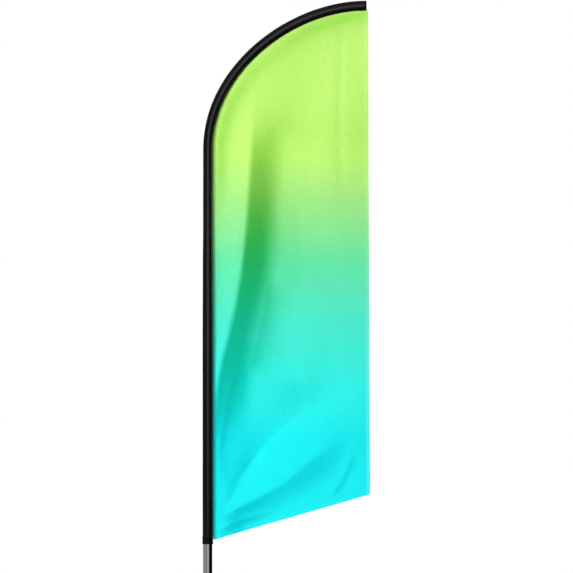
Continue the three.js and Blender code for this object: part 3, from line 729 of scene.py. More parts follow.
def ridge(x, z, crest, height, drop, near, steep, back, fade, tail=0.0, hold=(0, 0, 1, 1)):
    """Depth of a pleat: it rises over `near` to a crest line and falls over `steep` on its right.

    The depth is how far the cloth goes back from the front. Past the fall the cloth comes
    forward again over `back`, or with a tail it goes on falling by as much as the tail. The
    widths, in millimetres, grow from their first to their second value along the crest. It fades
    out over a share of the crest at each end. Outside its hold, given as shares of the crest too,
    the fall widens and weakens.
    """
    crest = np.array(crest, float) * MM
    steps = np.linspace(0, len(crest) - 1, CREST_STEPS)
    knots = np.arange(len(crest))
    line = np.stack([np.interp(steps, knots, crest[:, axis]) for axis in (0, 1)], axis=1)
    spread = 2 * CREST_ROUNDING + 1
    ends = [np.repeat(end, CREST_ROUNDING, 0) for end in (line[:1], line[-1:])]
    padded = np.concatenate([ends[0], line, ends[1]])
    kernel = np.ones(spread) / spread
    line = np.stack([np.convolve(padded[:, axis], kernel, "valid") for axis in (0, 1)], axis=1)
    tangent = np.gradient(line, axis=0)
    spacing = np.linalg.norm(tangent, axis=1)
    tangent /= spacing[:, None]
    delta_x = x[:, None] - line[None, :, 0]
    delta_z = z[:, None] - line[None, :, 1]
    nearest = np.argmin(delta_x**2 + delta_z**2, axis=1)
    rows = np.arange(len(x))
    dx, dz = delta_x[rows, nearest], delta_z[rows, nearest]
    along = (tangent[nearest, 0] * dx + tangent[nearest, 1] * dz) / spacing[nearest]
    signed = tangent[nearest, 1] * dx - tangent[nearest, 0] * dz
    share = np.clip((nearest + np.clip(along, -0.5, 0.5)) / (len(line) - 1), 0, 1)
    window = smoothstep(0, fade[0], share) * smoothstep(0, fade[1], 1 - share)
    foot_loose = smoothstep(hold[1], hold[0], share) if hold[1] > 0 else 0.0
    head_loose = smoothstep(hold[2], hold[3], share) if hold[2] < 1 else 0.0
    near, steep, back = (first * MM + (last - first) * MM * share for first, last in (near, steep, back))
    steep = steep * (1 + 0.8 * head_loose + 0.2 * foot_loose)
    height = height * (1 - head_loose - foot_loose)
    drop = drop * (1 - 0.4 * head_loose - 0.62 * foot_loose)
    tail = tail * (1 - 0.7 * head_loose - 0.7 * foot_loose)
    rise = -height * np.exp(-((signed / near) ** 2))
    fallen = np.cumsum(smoothstep(0, 0.18, FALL_STEPS) * smoothstep(FALL_END, 0.42, FALL_STEPS))
    fall = -height + (height + drop) * np.interp(signed / steep, FALL_STEPS, fallen / fallen[-1])
    past = np.maximum(signed - FALL_END * steep, 0) / back
    settle = drop * (np.ones_like(past) if np.any(tail) else np.exp(-(past**2)))
    depth = np.where(signed < 0, rise, np.where(signed < FALL_END * steep, fall, settle))
    depth = depth + tail * (1 - np.exp(-((np.maximum(signed, 0) / back) ** 1.5)))
    return depth * window


def cloth_depth(x, z, from_edge, cloth):
    """How far the cloth lies behind the plane of the banner."""
    height, drop, tail = cloth.pleat_height, cloth.pleat_drop, cloth.pleat_tail
    widths = (24, 62), (122, 106), (110, 150)
    depth = ridge(x, z, PLEAT_CREST, height, drop, *widths, (0.34, 0.30), tail, (0.19, 0.35, 0.765, 0.9))
    crease = cloth.crease_height
    for crest, (height, drop), widths in FOLDS:
        depth += ridge(x, z, crest, height * crease, drop * crease, *widths, (0.22, 0.28))
    # The shallow upright valley near the free edge, under the tip.
    upright = np.exp(-(((x - 0.466 - 0.004 * np.sin(z * 9)) / 0.016) ** 2))
    depth += 0.0010 * upright * smoothstep(1.56, 1.72, z) * smoothstep(2.24, 2.12, z)
    # The foot curls back beside the lower corner.
    foot = z - PANEL_CORNER_Z - (FREE_EDGE_FOOT - PANEL_CORNER_Z) * x / PANEL_RIGHT_FOOT
    depth += 0.004 * np.exp(-((foot / 0.075) ** 2)) * smoothstep(0.02, 0.10, x) * smoothstep(0.42, 0.16, x)
    # The cloth falls back a little from the sleeve along the bend.
    depth += 0.014 * (1 - np.exp(-from_edge / 0.05)) * smoothstep(1.5, 1.8, z)
    # Slow waves of a hanging cloth.
    slow = np.array([noise.noise(Vector((a * 5.0, 0.3, b * 2.6))) for a, b in zip(x, z)])
    small = np.array([noise.noise(Vector((a * 19.0 + b * 6.0, 4.1, b * 11.0))) for a, b in zip(x, z)])
    depth += 0.0045 * slow + 0.0006 * small
    # The seam on the sleeve holds the cloth flat beside it, least where the pleat meets it.
    met = smoothstep(0.68, 0.80, z) * smoothstep(1.20, 1.02, z)
    reach = 0.035 - 0.018 * met + 0.02 * smoothstep(0.70, 0.55, z)
    return depth * (1 - np.exp(-((from_edge / reach) ** 2)))


def rounded_corner(x, z, corner, radius):
    """Draws the points near the lower free corner onto a rounded corner."""
    foot_x, foot_z = panel_left(0.0)
    slope = math.atan2(FREE_EDGE_FOOT - float(foot_z), PANEL_RIGHT_FOOT - float(foot_x))
    across = np.array([math.cos(slope), math.sin(slope)])
    up = np.array([-math.sin(slope), math.cos(slope)])
    delta = np.stack([x - corner[0], z - corner[1]], axis=1)
    a = radius + delta @ across
    b = radius - delta @ up
    inside = (a > 0) & (b > 0)
    size = np.hypot(a, b)
    keep = np.where(inside & (size > 0), np.maximum(a, b) / np.maximum(size, 1e-9), 1.0)
    new = (a * keep - radius)[:, None] * across + (radius - b * keep)[:, None] * up
    x = np.where(inside, corner[0] + new[:, 0], x)
    z = np.where(inside, corner[1] + new[:, 1], z)
    return x, z


def cloth_points(across, up, cloth, lift=0.0):
    """Points on the cloth. `across` runs from the sleeve to the free edge, `up` from foot to head."""
    left_x, left_z = panel_left(up)
    right_x, right_z = panel_right(up)
    x = left_x + (right_x - left_x) * across
    z = left_z + (right_z - left_z) * across
    x, z = rounded_corner(x, z, (PANEL_RIGHT_FOOT, FREE_EDGE_FOOT), 0.008)
    from_edge = across * np.hypot(right_x - left_x, right_z - left_z)
    y = cloth_depth(x, z, from_edge, cloth) - lift
    return np.stack([x, y, z], axis=1)


def row_length(up):
    left_x, left_z = panel_left(up)
    right_x, right_z = panel_right(up)
    return np.hypot(right_x - left_x, right_z - left_z)


# ------------------------------------------------------------------ stitches


def stitch_tree():
    """A node tree that lays small stitches end to end along a line of vertices."""
    tree = bpy.data.node_groups.new("Stitches", "GeometryNodeTree")
    face = tree.interface
    face.new_socket("Geometry", in_out="INPUT", socket_type="NodeSocketGeometry")
    for name in ("Pitch", "Length", "Thickness"):
        face.new_socket(name, in_out="INPUT", socket_type="NodeSocketFloat")
    face.new_socket("Thread", in_out="INPUT", socket_type="NodeSocketMaterial")
    face.new_socket("Geometry", in_out="OUTPUT", socket_type="NodeSocketGeometry")
    kinds = {
        "start": "NodeGroupInput",
        "end": "NodeGroupOutput",
        "curve": "GeometryNodeMeshToCurve",
        "resample": "GeometryNodeResampleCurve",
        "tangent": "GeometryNodeInputTangent",
        "align": "FunctionNodeAlignRotationToVector",
        "stitch": "GeometryNodeMeshUVSphere",
        "size": "ShaderNodeCombineXYZ",
        "instance": "GeometryNodeInstanceOnPoints",
        "smooth": "GeometryNodeSetShadeSmooth",
        "realize": "GeometryNodeRealizeInstances",
        "material": "GeometryNodeSetMaterial",
    }
    made = {key: tree.nodes.new(kind) for key, kind in kinds.items()}
    made["resample"].mode = "LENGTH"
    made["align"].axis = "X"
    for name, value in (("Segments", 6), ("Rings", 4), ("Radius", 0.5)):
        made["stitch"].inputs[name].default_value = value
    links = [
        ("start", "Geometry", "curve", "Mesh"),
        ("curve", "Curve", "resample", "Curve"),
        ("start", "Pitch", "resample", "Length"),
        ("tangent", "Tangent", "align", "Vector"),
        ("start", "Length", "size", "X"),
        ("start", "Thickness", "size", "Y"),
        ("start", "Thickness", "size", "Z"),
        ("resample", "Curve", "instance", "Points"),
        ("stitch", "Mesh", "smooth", "Geometry"),
        ("smooth", "Geometry", "instance", "Instance"),
        ("align", "Rotation", "instance", "Rotation"),
        ("size", "Vector", "instance", "Scale"),
        ("instance", "Instances", "realize", "Geometry"),
        ("realize", "Geometry", "material", "Geometry"),
        ("start", "Thread", "material", "Material"),
        ("material", "Geometry", "end", "Geometry"),
    ]
    for source, output, target, entry in links:
        tree.links.new(made[source].outputs[output], made[target].inputs[entry])
    return tree


def stitch_lines(name, lines, pitch, length, thickness, thread):
    """One mesh of stitches along each of the lines of points."""
    vertices, edges = [], []
    for line in lines:
        start = len(vertices)
        vertices += list(line)
        edges += [(start + i, start + i + 1) for i in range(len(line) - 1)]
    piece = object_from(name, vertices, edges=edges)
    tree = bpy.data.node_groups.get("Stitches") or stitch_tree()
    modifier = piece.modifiers.new("Stitches", "NODES")
    modifier.node_group = tree
    values = {"Pitch": pitch, "Length": length, "Thickness": thickness, "Thread": finishes[thread]}
    for item in tree.interface.items_tree:
        if item.in_out == "INPUT" and item.name in values:
            modifier[item.identifier] = values[item.name]
    return applied(piece)


# ------------------------------------------------------------------ operators


FLOOR_FOOT = -0.004
FLOOR_TOP = -0.0005
LAMP_SIZE = (1.2, 2.0)
LAMP_TARGET = (0.3, 0.0, 1.3)
CARD_X = -0.45
CARD_DEPTH = (-0.75, 1.5)
CARD_HEIGHT = (0.42, 2.7)
CEILING = (0.015, 0.015, 0.015)
# The brightness of the walls round the banner. Nought degrees is in front, 90 on the right.
SOFT_BOXES = [
    (-180, 0.05),
    (-140, 0.2),
    (-80, 0.5),
    (-50, 0.42),
    (-30, 0.1),
    (-10, 0.66),
    (20, 0.7),
    (38, 0.03),
    (70, 0.0),
    (135, 0.0),
    (160, 0.05),
]


class BANNER_OT_stage(bpy.types.Operator):
    """Make the floor, the studio's soft light and the camera"""

    bl_idname = "banner.stage"
    bl_label = "Stage"

    def execute(self, context):
        stage = context.scene.banner_stage
        floor = turned("studio_floor", disc(stage.floor_radius, FLOOR_FOOT, FLOOR_TOP))
        floor.data.materials.append(finishes["floor"])
        floor.visible_glossy = False
        self.make_camera(context, stage)
        self.make_world(context, stage)
        self.make_lamps(stage)
        self.make_card()
        context.scene.view_settings.view_transform = "Standard"
        context.scene.view_settings.look = "None"
        return {"FINISHED"}

    def make_camera(self, context, stage):
        lens = bpy.data.cameras.new("Front camera")
        lens.sensor_width = 36.0
        lens.lens = lens.sensor_width * stage.distance / stage.frame_width
        lens.clip_end = 100.0
        camera = linked("Front camera", lens)
        camera.location = (stage.centre_x, -stage.distance, stage.centre_z)
        camera.rotation_euler = (math.radians(90), 0, 0)
        context.scene.camera = camera

    def make_card(self):
        """A dark card on the left, seen only in reflections, which keeps the sleeve's side black."""
        x, (front, back), (foot, top) = CARD_X, CARD_DEPTH, CARD_HEIGHT
        corners = [(x, front, foot), (x, back, foot), (x, back, top), (x, front, top)]
        card = object_from("dark_card", corners, [(0, 1, 2, 3)])
        dark = Finish("Dark card", (0.002, 0.002, 0.002), 1.0)
        dark.set("Specular IOR Level", 0.0)
        card.data.materials.append(dark.material)
        for kind in ("camera", "diffuse", "shadow", "transmission"):
            setattr(card, f"visible_{kind}", False)

    def make_lamps(self, stage):
        """The wide key light on the left, which rakes across the cloth, and the weaker lights."""
        lamps = (
            ("Key light", stage.key_power, (-4.1, -3.2, 2.4)),
            ("Fill light", stage.fill_power, (2.6, -4.6, 1.8)),
            ("Back light", stage.fill_power * 3, (-1.5, 4.6, 2.4)),
            ("Top light", stage.top_power, (0.3, -0.2, 5.0)),
        )
        for name, power, place_at in lamps:
            light = bpy.data.lights.new(name, "AREA")
            light.shape = "RECTANGLE"
            light.size, light.size_y = LAMP_SIZE
            light.energy = power
            lamp = linked(name, light)
            lamp.location = place_at
            aim = Vector(LAMP_TARGET) - lamp.location
            lamp.rotation_euler = aim.to_track_quat("-Z", "Y").to_euler()
            lamp.visible_glossy = False
            lamp.visible_camera = False

    def make_world(self, context, stage):
        """Soft boxes on the left and in front, a soft ceiling, and a dark right-hand side."""
        world = bpy.data.worlds.new("Studio")
        world.use_nodes = True
        context.scene.world = world
        world.node_tree.nodes.clear()
        nodes = Nodes(world.node_tree)
        x, y, z = nodes.split(nodes.node("ShaderNodeTexCoord").outputs["Generated"])
        turn = nodes.maths("ARCTAN2", x, nodes.maths("MULTIPLY", y, -1.0))
        stops = [((degrees + 180) / 360, (level,) * 3) for degrees, level in SOFT_BOXES]
        walls = nodes.ramp(nodes.ranged(turn, 0, 1, -math.pi, math.pi), stops)
        tilt = nodes.maths("ABSOLUTE", z)
        overhead = nodes.ranged(tilt, 0, 1, 0.12, 0.5, interpolation_type="SMOOTHSTEP")
        room = nodes.blended(overhead, walls, CEILING)
        studio = nodes.fed("ShaderNodeBackground", {"Color": room, "Strength": stage.light})
        white = nodes.fed("ShaderNodeBackground", {"Color": (1, 1, 1)})
        seen = nodes.node("ShaderNodeLightPath").outputs["Is Camera Ray"]
        surface = nodes.mixed(seen, studio.outputs[0], white.outputs[0])
        nodes.fed("ShaderNodeOutputWorld", {"Surface": surface})


class BANNER_OT_panel(bpy.types.Operator):
    """Make the printed cloth panel with its pleat, creases and hems"""

    bl_idname = "banner.panel"
    bl_label = "Cloth panel"

    def execute(self, context):
        cloth = context.scene.banner_cloth
        columns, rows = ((104, 400))
        across_one = 1 - (1 - np.linspace(0, 1, columns + 1)) ** 1.12
        up_one = np.linspace(0, 1, rows + 1) ** 1.06
        across, up = (grid.ravel() for grid in np.meshgrid(across_one, up_one))
        points = cloth_points(across, up, cloth)
        piece = object_from("cloth_panel", points, grid_faces(rows + 1, columns + 1))
        doubled = self.mark_hems(piece, points, across, up, cloth)
        self.mark_fold_shade(piece, points.reshape(rows + 1, columns + 1, 3), cloth)
        group = piece.vertex_groups.new(name="layers")
        for index, share in enumerate(doubled):
            group.add([index], float(0.5 + 0.5 * share), "REPLACE")
        smooth(thickened(piece, 2 * cloth.thickness, group=group.name), 60)
        place(piece, "banner", "cloth", "flag_panel")
        stitches = self.hem_stitches(cloth)
        return {"FINISHED"}

    def mark(self, piece, name, values):
        attribute = piece.data.attributes.new(name, "FLOAT", "POINT")
        attribute.data.foreach_set("value", values.astype(np.float32))

    def mark_hems(self, piece, points, across, up, cloth):
        """Marks where the cloth is lighter along its edges, and returns where it is doubled."""
        x, z = points[:, 0], points[:, 2]
        slope = math.atan2(FREE_EDGE_FOOT - PANEL_CORNER_Z, PANEL_RIGHT_FOOT - COLLAR_CLEARANCE)
        to_free = PANEL_RIGHT_FOOT - (PANEL_RIGHT_FOOT - PANEL_RIGHT_TOP) * up - x
        foot_line = PANEL_CORNER_Z + math.tan(slope) * (x - COLLAR_CLEARANCE)
        to_foot = (z - foot_line) * math.cos(slope)
        outer, inner = cloth.hem_width + 0.002, cloth.hem_width - 0.003
        free, foot = (smoothstep(outer, inner, distance) for distance in (to_free, to_foot))
        piping = smoothstep(0.005, 0.002, across * row_length(up))
        self.mark(piece, "hem", np.maximum(free * 0.7, piping))
        return np.maximum(np.maximum(free, foot), piping)

    def mark_fold_shade(self, piece, grid, cloth):
        """Marks painted shade: how far the ink is darkened, from how steeply the cloth turns away from the
        key light.
        """
        x, y, z = (grid[..., axis] for axis in range(3))
        to_right = np.gradient(y, axis=1) / np.maximum(np.gradient(x, axis=1), 1e-5)
        to_head = np.gradient(y, axis=0) / np.maximum(np.gradient(z, axis=0), 1e-5)
        low = smoothstep(1.15, 0.85, z)
        strength = cloth.fold_shade * (1 + low - 0.45 * smoothstep(1.42, 1.7, z))
        self.mark(piece, "fold", np.clip(strength * (to_right - 0.5 * to_head * low), 0, 1).ravel())

    def flat_area(self):
        left = np.stack(panel_left(np.linspace(0, 1, 300)), axis=1)
        right = np.stack(panel_right(np.linspace(1, 0, 300)), axis=1)
        x, z = np.concatenate([left, right]).T
        return float(0.5 * abs(np.dot(x, np.roll(z, 1)) - np.dot(z, np.roll(x, 1))))

    def hem_stitches(self, cloth):
        surface = cloth.thickness + 0.0001
        inset = cloth.hem_width - 0.002
        lines = []
        for side in (1, -1):
            up = np.linspace(0.012, 0.995, 500)
            across = 1 - inset / row_length(up)
            keep = across > 0.2
            lines.append(cloth_points(across[keep], up[keep], cloth, side * surface))
            foot_across = np.linspace(0.02, 0.985, 170)
            foot_up = inset / (MAST_LENGTH - PANEL_CORNER_Z) * (1 + 0.28 * foot_across)
            lines.append(cloth_points(foot_across, foot_up, cloth, side * surface))
        pitch = cloth.stitch_pitch
        piece = stitch_lines("hem_stitches", lines, pitch, pitch * 0.78, 0.0007, "thread")
        return place(piece, "banner", "cloth", finish="thread")


class BANNER_OT_sleeve(bpy.types.Operator):
    """Make the black pole sleeve, its sewn tip and its seams"""

    bl_idname = "banner.sleeve"
    bl_label = "Pole sleeve"

    def execute(self, context):
        sizes = context.scene.banner_sleeve
        end = MAST_LENGTH - POCKET_LENGTH + 0.0002
        rings = 440
        angles = self.angles()
        along = np.linspace(SLEEVE_FOOT, end, rings)
        piece = smooth(thickened(self.skin(along, angles, sizes), sizes.thickness, -1), 50)
        place(piece, "banner", "sleeve", "pole_sleeve")
        pocket = self.pocket(sizes, angles)
        stitches = self.seam_stitches(context)
        self.tab(context)
        return {"FINISHED"}

    def section(self, along, angle, sizes, grow=0.0):
        """Points round the sleeve, drawn out to a seam where the angle is nought, at the cloth."""
        x, z = mast_points(along)
        in_x, in_z = mast_inward(along)
        half = sleeve_half_width(along) + grow
        flat = sleeve_flatness(along)
        pinch = 1 - 0.10 * np.exp(-((angle / 0.75) ** 2)) * np.abs(np.sin(angle))
        if sizes:
            half = half + sizes.seam_height * np.exp(-(((np.abs(angle) - SEAM_ANGLE) / 0.06) ** 2))
        seam = 0.0024 + 0.0008 * smoothstep(1.55, 1.95, along)
        across = half * np.cos(angle) * pinch + seam * np.exp(-((angle / 0.55) ** 2))
        depth = half * np.sin(angle) * flat * pinch
        return x + in_x * across, depth, z + in_z * across

    def angles(self):
        """The angles round the sleeve, closer together at its two raised seams."""
        even = np.linspace(-math.pi, math.pi, 44, endpoint=False)
        near = np.linspace(-0.15, 0.15, 11)
        sides = np.abs(np.abs(even) - SEAM_ANGLE) > 0.19
        return np.sort(np.concatenate([even[sides], SEAM_ANGLE + near, -SEAM_ANGLE + near]))

    def skin(self, along, angles, sizes):
        vertices = []
        for s in along:
            for angle in angles:
                wrinkle = noise.noise(Vector((math.cos(angle) * 0.9, math.sin(angle) * 0.9, s * 9.0)))
                bend = float(smoothstep(1.70, 1.95, s)) * float(smoothstep(2.62, 2.3, s))
                gather = noise.noise(Vector((s * 42.0 + angle * 1.3, 2.7, angle * 0.6)))
                near_foot = math.exp(-(((s - SLEEVE_FOOT) / 0.03) ** 2))
                grow = sizes.ripple * (wrinkle - 0.5) * (1 + 0.6 * bend)
                grow += 0.35 * sizes.ripple * gather * (0.4 * bend + near_foot)
                x, y, z = self.section(s, angle, sizes, grow + 0.0003)
                vertices.append((x, y, z))
        return object_from("sleeve_cloth", vertices, grid_faces(len(along), len(angles), True))

    def pocket(self, sizes, angles):
        """The sewn tip: the sleeve's cloth drawn flat to a seam, with a bound edge."""
        start = MAST_LENGTH - POCKET_LENGTH
        along = np.linspace(start, MAST_LENGTH, 14)
        around = len(angles)
        vertices = []
        for s in along:
            share = (s - start) / POCKET_LENGTH
            flat = 1.0 - 0.62 * float(smoothstep(0.1, 0.95, share))
            ridge_height = 0.0006 * math.exp(-(((share - 0.32) / 0.10) ** 2))
            for angle in angles:
                x, y, z = self.section(s, angle, sizes, ridge_height - 0.0001)
                vertices.append((x, y * flat, z))
        faces = grid_faces(len(along), around, True)
        faces.append(tuple(range(around - 1, -1, -1)))
        last = (len(along) - 1) * around
        faces.append(tuple(last + c for c in range(around)))
        piece = smooth(clean(object_from("sleeve_tip", vertices, faces)), 50)
        return place(piece, "banner", "sleeve", "tip_pocket")

    def seam_stitches(self, context):
        """Stitches along the seam to the cloth and the two raised seams, and round the sewn tip."""
        pitch = context.scene.banner_cloth.stitch_pitch
        lines = []
        on_raised_seam, beside_cloth, on_tip = 0.0011, 0.0002, 0.0006
        for angle in (0.30, -0.30, SEAM_ANGLE, -SEAM_ANGLE):
            along = np.linspace(SLEEVE_FOOT + 0.004, MAST_LENGTH - POCKET_LENGTH - 0.002, 700)
            raised = on_raised_seam if abs(angle) > 1 else beside_cloth
            points = self.section(along, np.full_like(along, angle), None, raised)
            lines.append(np.stack(points, axis=1))
        angles = np.linspace(0, 2 * math.pi, 60)
        angles = np.where(angles > math.pi, angles - 2 * math.pi, angles)
        along = np.full_like(angles, MAST_LENGTH - POCKET_LENGTH * 0.66)
        lines.append(np.stack(self.section(along, angles, None, on_tip), axis=1))
        piece = stitch_lines("sleeve_stitches", lines, pitch, pitch * 0.75, 0.0007, "sleeve_thread")
        return place(piece, "banner", "sleeve", finish="sleeve_thread")

    def tab(self, context):
        """The elastic tab behind the sleeve's foot, sewn above and hooked on the collar's peg."""
        low, high = node_bounds("tension_tab")
        eye_low, eye_high = node_bounds("tab_eyelet")
        eye = (eye_low + eye_high) / 2
        eye_radius = (eye_high.x - eye_low.x) / 2 * 0.68
        count, columns = 240, 16
        thickness, rib_pitch = 0.0014, 0.0032
        knee_low, knee_high = SLEEVE_FOOT, high.z - 0.055
        front = high.y - 0.0016
        half = (high.x - low.x) / 2
        vertices = []
        for height in np.linspace(low.z, high.z, count):
            share = float(smoothstep(knee_low, knee_high, height))
            middle = front + 0.0008 + (low.y - front) * share
            corner = min(1.0, (height - low.z) / 0.006)
            reach = half * (0.72 + 0.28 * math.sqrt(max(0.0, 1 - (1 - corner) ** 2)))
            rib = 0.00012 * math.cos(height * 2 * math.pi / rib_pitch)
            vertices += [(reach * (-1 + 2 * c / columns), middle + rib, height) for c in range(columns + 1)]
        piece = object_from("tension_tab_webbing", vertices, grid_faces(count, columns + 1))
        thickened(piece, thickness)
        drilled(piece, eye_radius, -0.01, 0.01, 32, eye)
        faced(smooth(piece, 50), "seam")
        stitches = self.tab_stitches(context, half, high.z, high.y + 0.0003)
        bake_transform(piece)
        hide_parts("tension_tab")

    def tab_stitches(self, context, half, top, y):
        """The sewn box and cross that hold the tab's upper end."""
        x, foot, head = half - 0.0025, top - 0.030, top - 0.003
        corners = [(-x, foot), (x, foot), (x, head), (-x, head), (-x, foot), (x, head)]
        lines = [[(a, y, b) for a, b in corners], [(-x, y, head), (x, y, foot)]]
        pitch = context.scene.banner_cloth.stitch_pitch
        piece = stitch_lines("tab_stitches", lines, pitch * 0.8, pitch * 0.6, 0.0006, "sleeve_thread")
        return place(piece, "banner", "sleeve", finish="sleeve_thread")


BUTTON_HOLE = 0.0038
SCREW_HOLE = 0.0028
TUBE_WALL = 0.0015


class BANNER_OT_mast(bpy.types.Operator):
    """Make the mast's visible tube, the tension collar and its screw"""

    bl_idname = "banner.mast"
    bl_label = "Mast and collar"

    def execute(self, context):
        self.tube()
        self.collar()
        self.screw()
        return {"FINISHED"}

    def tube(self):
        low, high = node_bounds("bottom_tube")
        outer = high.x
        inner = outer - TUBE_WALL
        lip = 0.0004
        piece = turned(
            "mast_tube",
            [
                (inner, low.z),
                (outer - lip, low.z),
                (outer, low.z + lip),
                (outer, high.z - lip),
                (outer - lip, high.z),
                (inner, high.z),
            ],
            128,
        )
        drilled(piece, BUTTON_HOLE, -0.01, 0.01, 48, (0, -outer, middle_height("snap_button")))
        place(smooth(piece), "banner", "aluminium", "bottom_tube")

    def collar(self):
        low, high = node_bounds("tension_collar")
        foot, top = low.z, high.z
        outer = high.x
        bore, rim, soft = 0.0163, 0.0042, 0.0012
        waist = outer - 0.0009
        ring = turned(
            "collar_ring",
            [
                (bore, foot),
                (outer - soft, foot),
                (outer - 0.35 * soft, foot + 0.35 * soft),
                (outer, foot + soft),
                (outer, foot + rim),
                (waist, foot + rim + 0.0011),
                (waist, top - rim - 0.0011),
                (outer, top - rim),
                (outer, top - soft),
                (outer - 0.35 * soft, top - 0.35 * soft),
                (outer - soft, top),
                (bore, top),
            ],
            128,
        )
        drilled(ring, SCREW_HOLE, -0.008, 0.008, 40, (0, -outer, middle_height("collar_screw")))
        peg_z = foot + (top - foot) / 3
        peg_start, peg_end = bore + 0.0008, high.y
        peg, peg_head = 0.0024, 0.0029
        profile = [
            (0, peg_start),
            (peg, peg_start),
            (peg, peg_end - 0.0022),
            (peg_head, peg_end - 0.0016),
            (peg_head, peg_end - 0.0005),
            (0.0022, peg_end),
            (0, peg_end),
        ]
        combined(ring, pin("peg", profile, 40, (0, 0, peg_z)), "UNION")
        bevelled(ring, 0.00025, 2)
        place(ring, "tension_collar", "plastic", "tension_collar")

    def screw(self):
        front = node_bounds("collar_screw")[0].y
        centre_z = middle_height("collar_screw")
        head, shank, end = 0.004, 0.0025, 0.0058
        profile = [
            (0, 0),
            (head - 0.0006, 0),
            (head, 0.0006),
            (head, 0.0026),
            (shank + 0.0001, 0.003),
            (shank, end),
            (0, end),
        ]
        piece = pin("collar_thumb_screw", profile, 48, (0, front, centre_z))
        slot = object_from(
            "slot",
            [
                (x * 0.006, front + y * 0.0010, centre_z + z * 0.0006)
                for x in (-1, 1)
                for y in (-1, 1)
                for z in (-1, 1)
            ],
            [(0, 1, 3, 2), (4, 6, 7, 5), (0, 4, 5, 1), (2, 3, 7, 6), (0, 2, 6, 4), (1, 5, 7, 3)],
        )
        combined(piece, clean(slot), "DIFFERENCE")
        bevelled(piece, 0.00015, 1)
        place(piece, "collar_screw", "plastic", "collar_screw")


LEG_HALF_LENGTH = {"lower": 0.360, "upper": 0.420}
LEG_HALF_WIDTH = 0.020
LEG_CORNER = 0.003
LEG_WALL = 0.0015
FOOT_INSET = 0.026
TALL_FOOT = 0.015
SPINDLE_BORE = 0.0083
FOOT_WELL = 0.0163
FERRULE_BORE = 0.0145
FERRULE_SOCKET = 0.0163


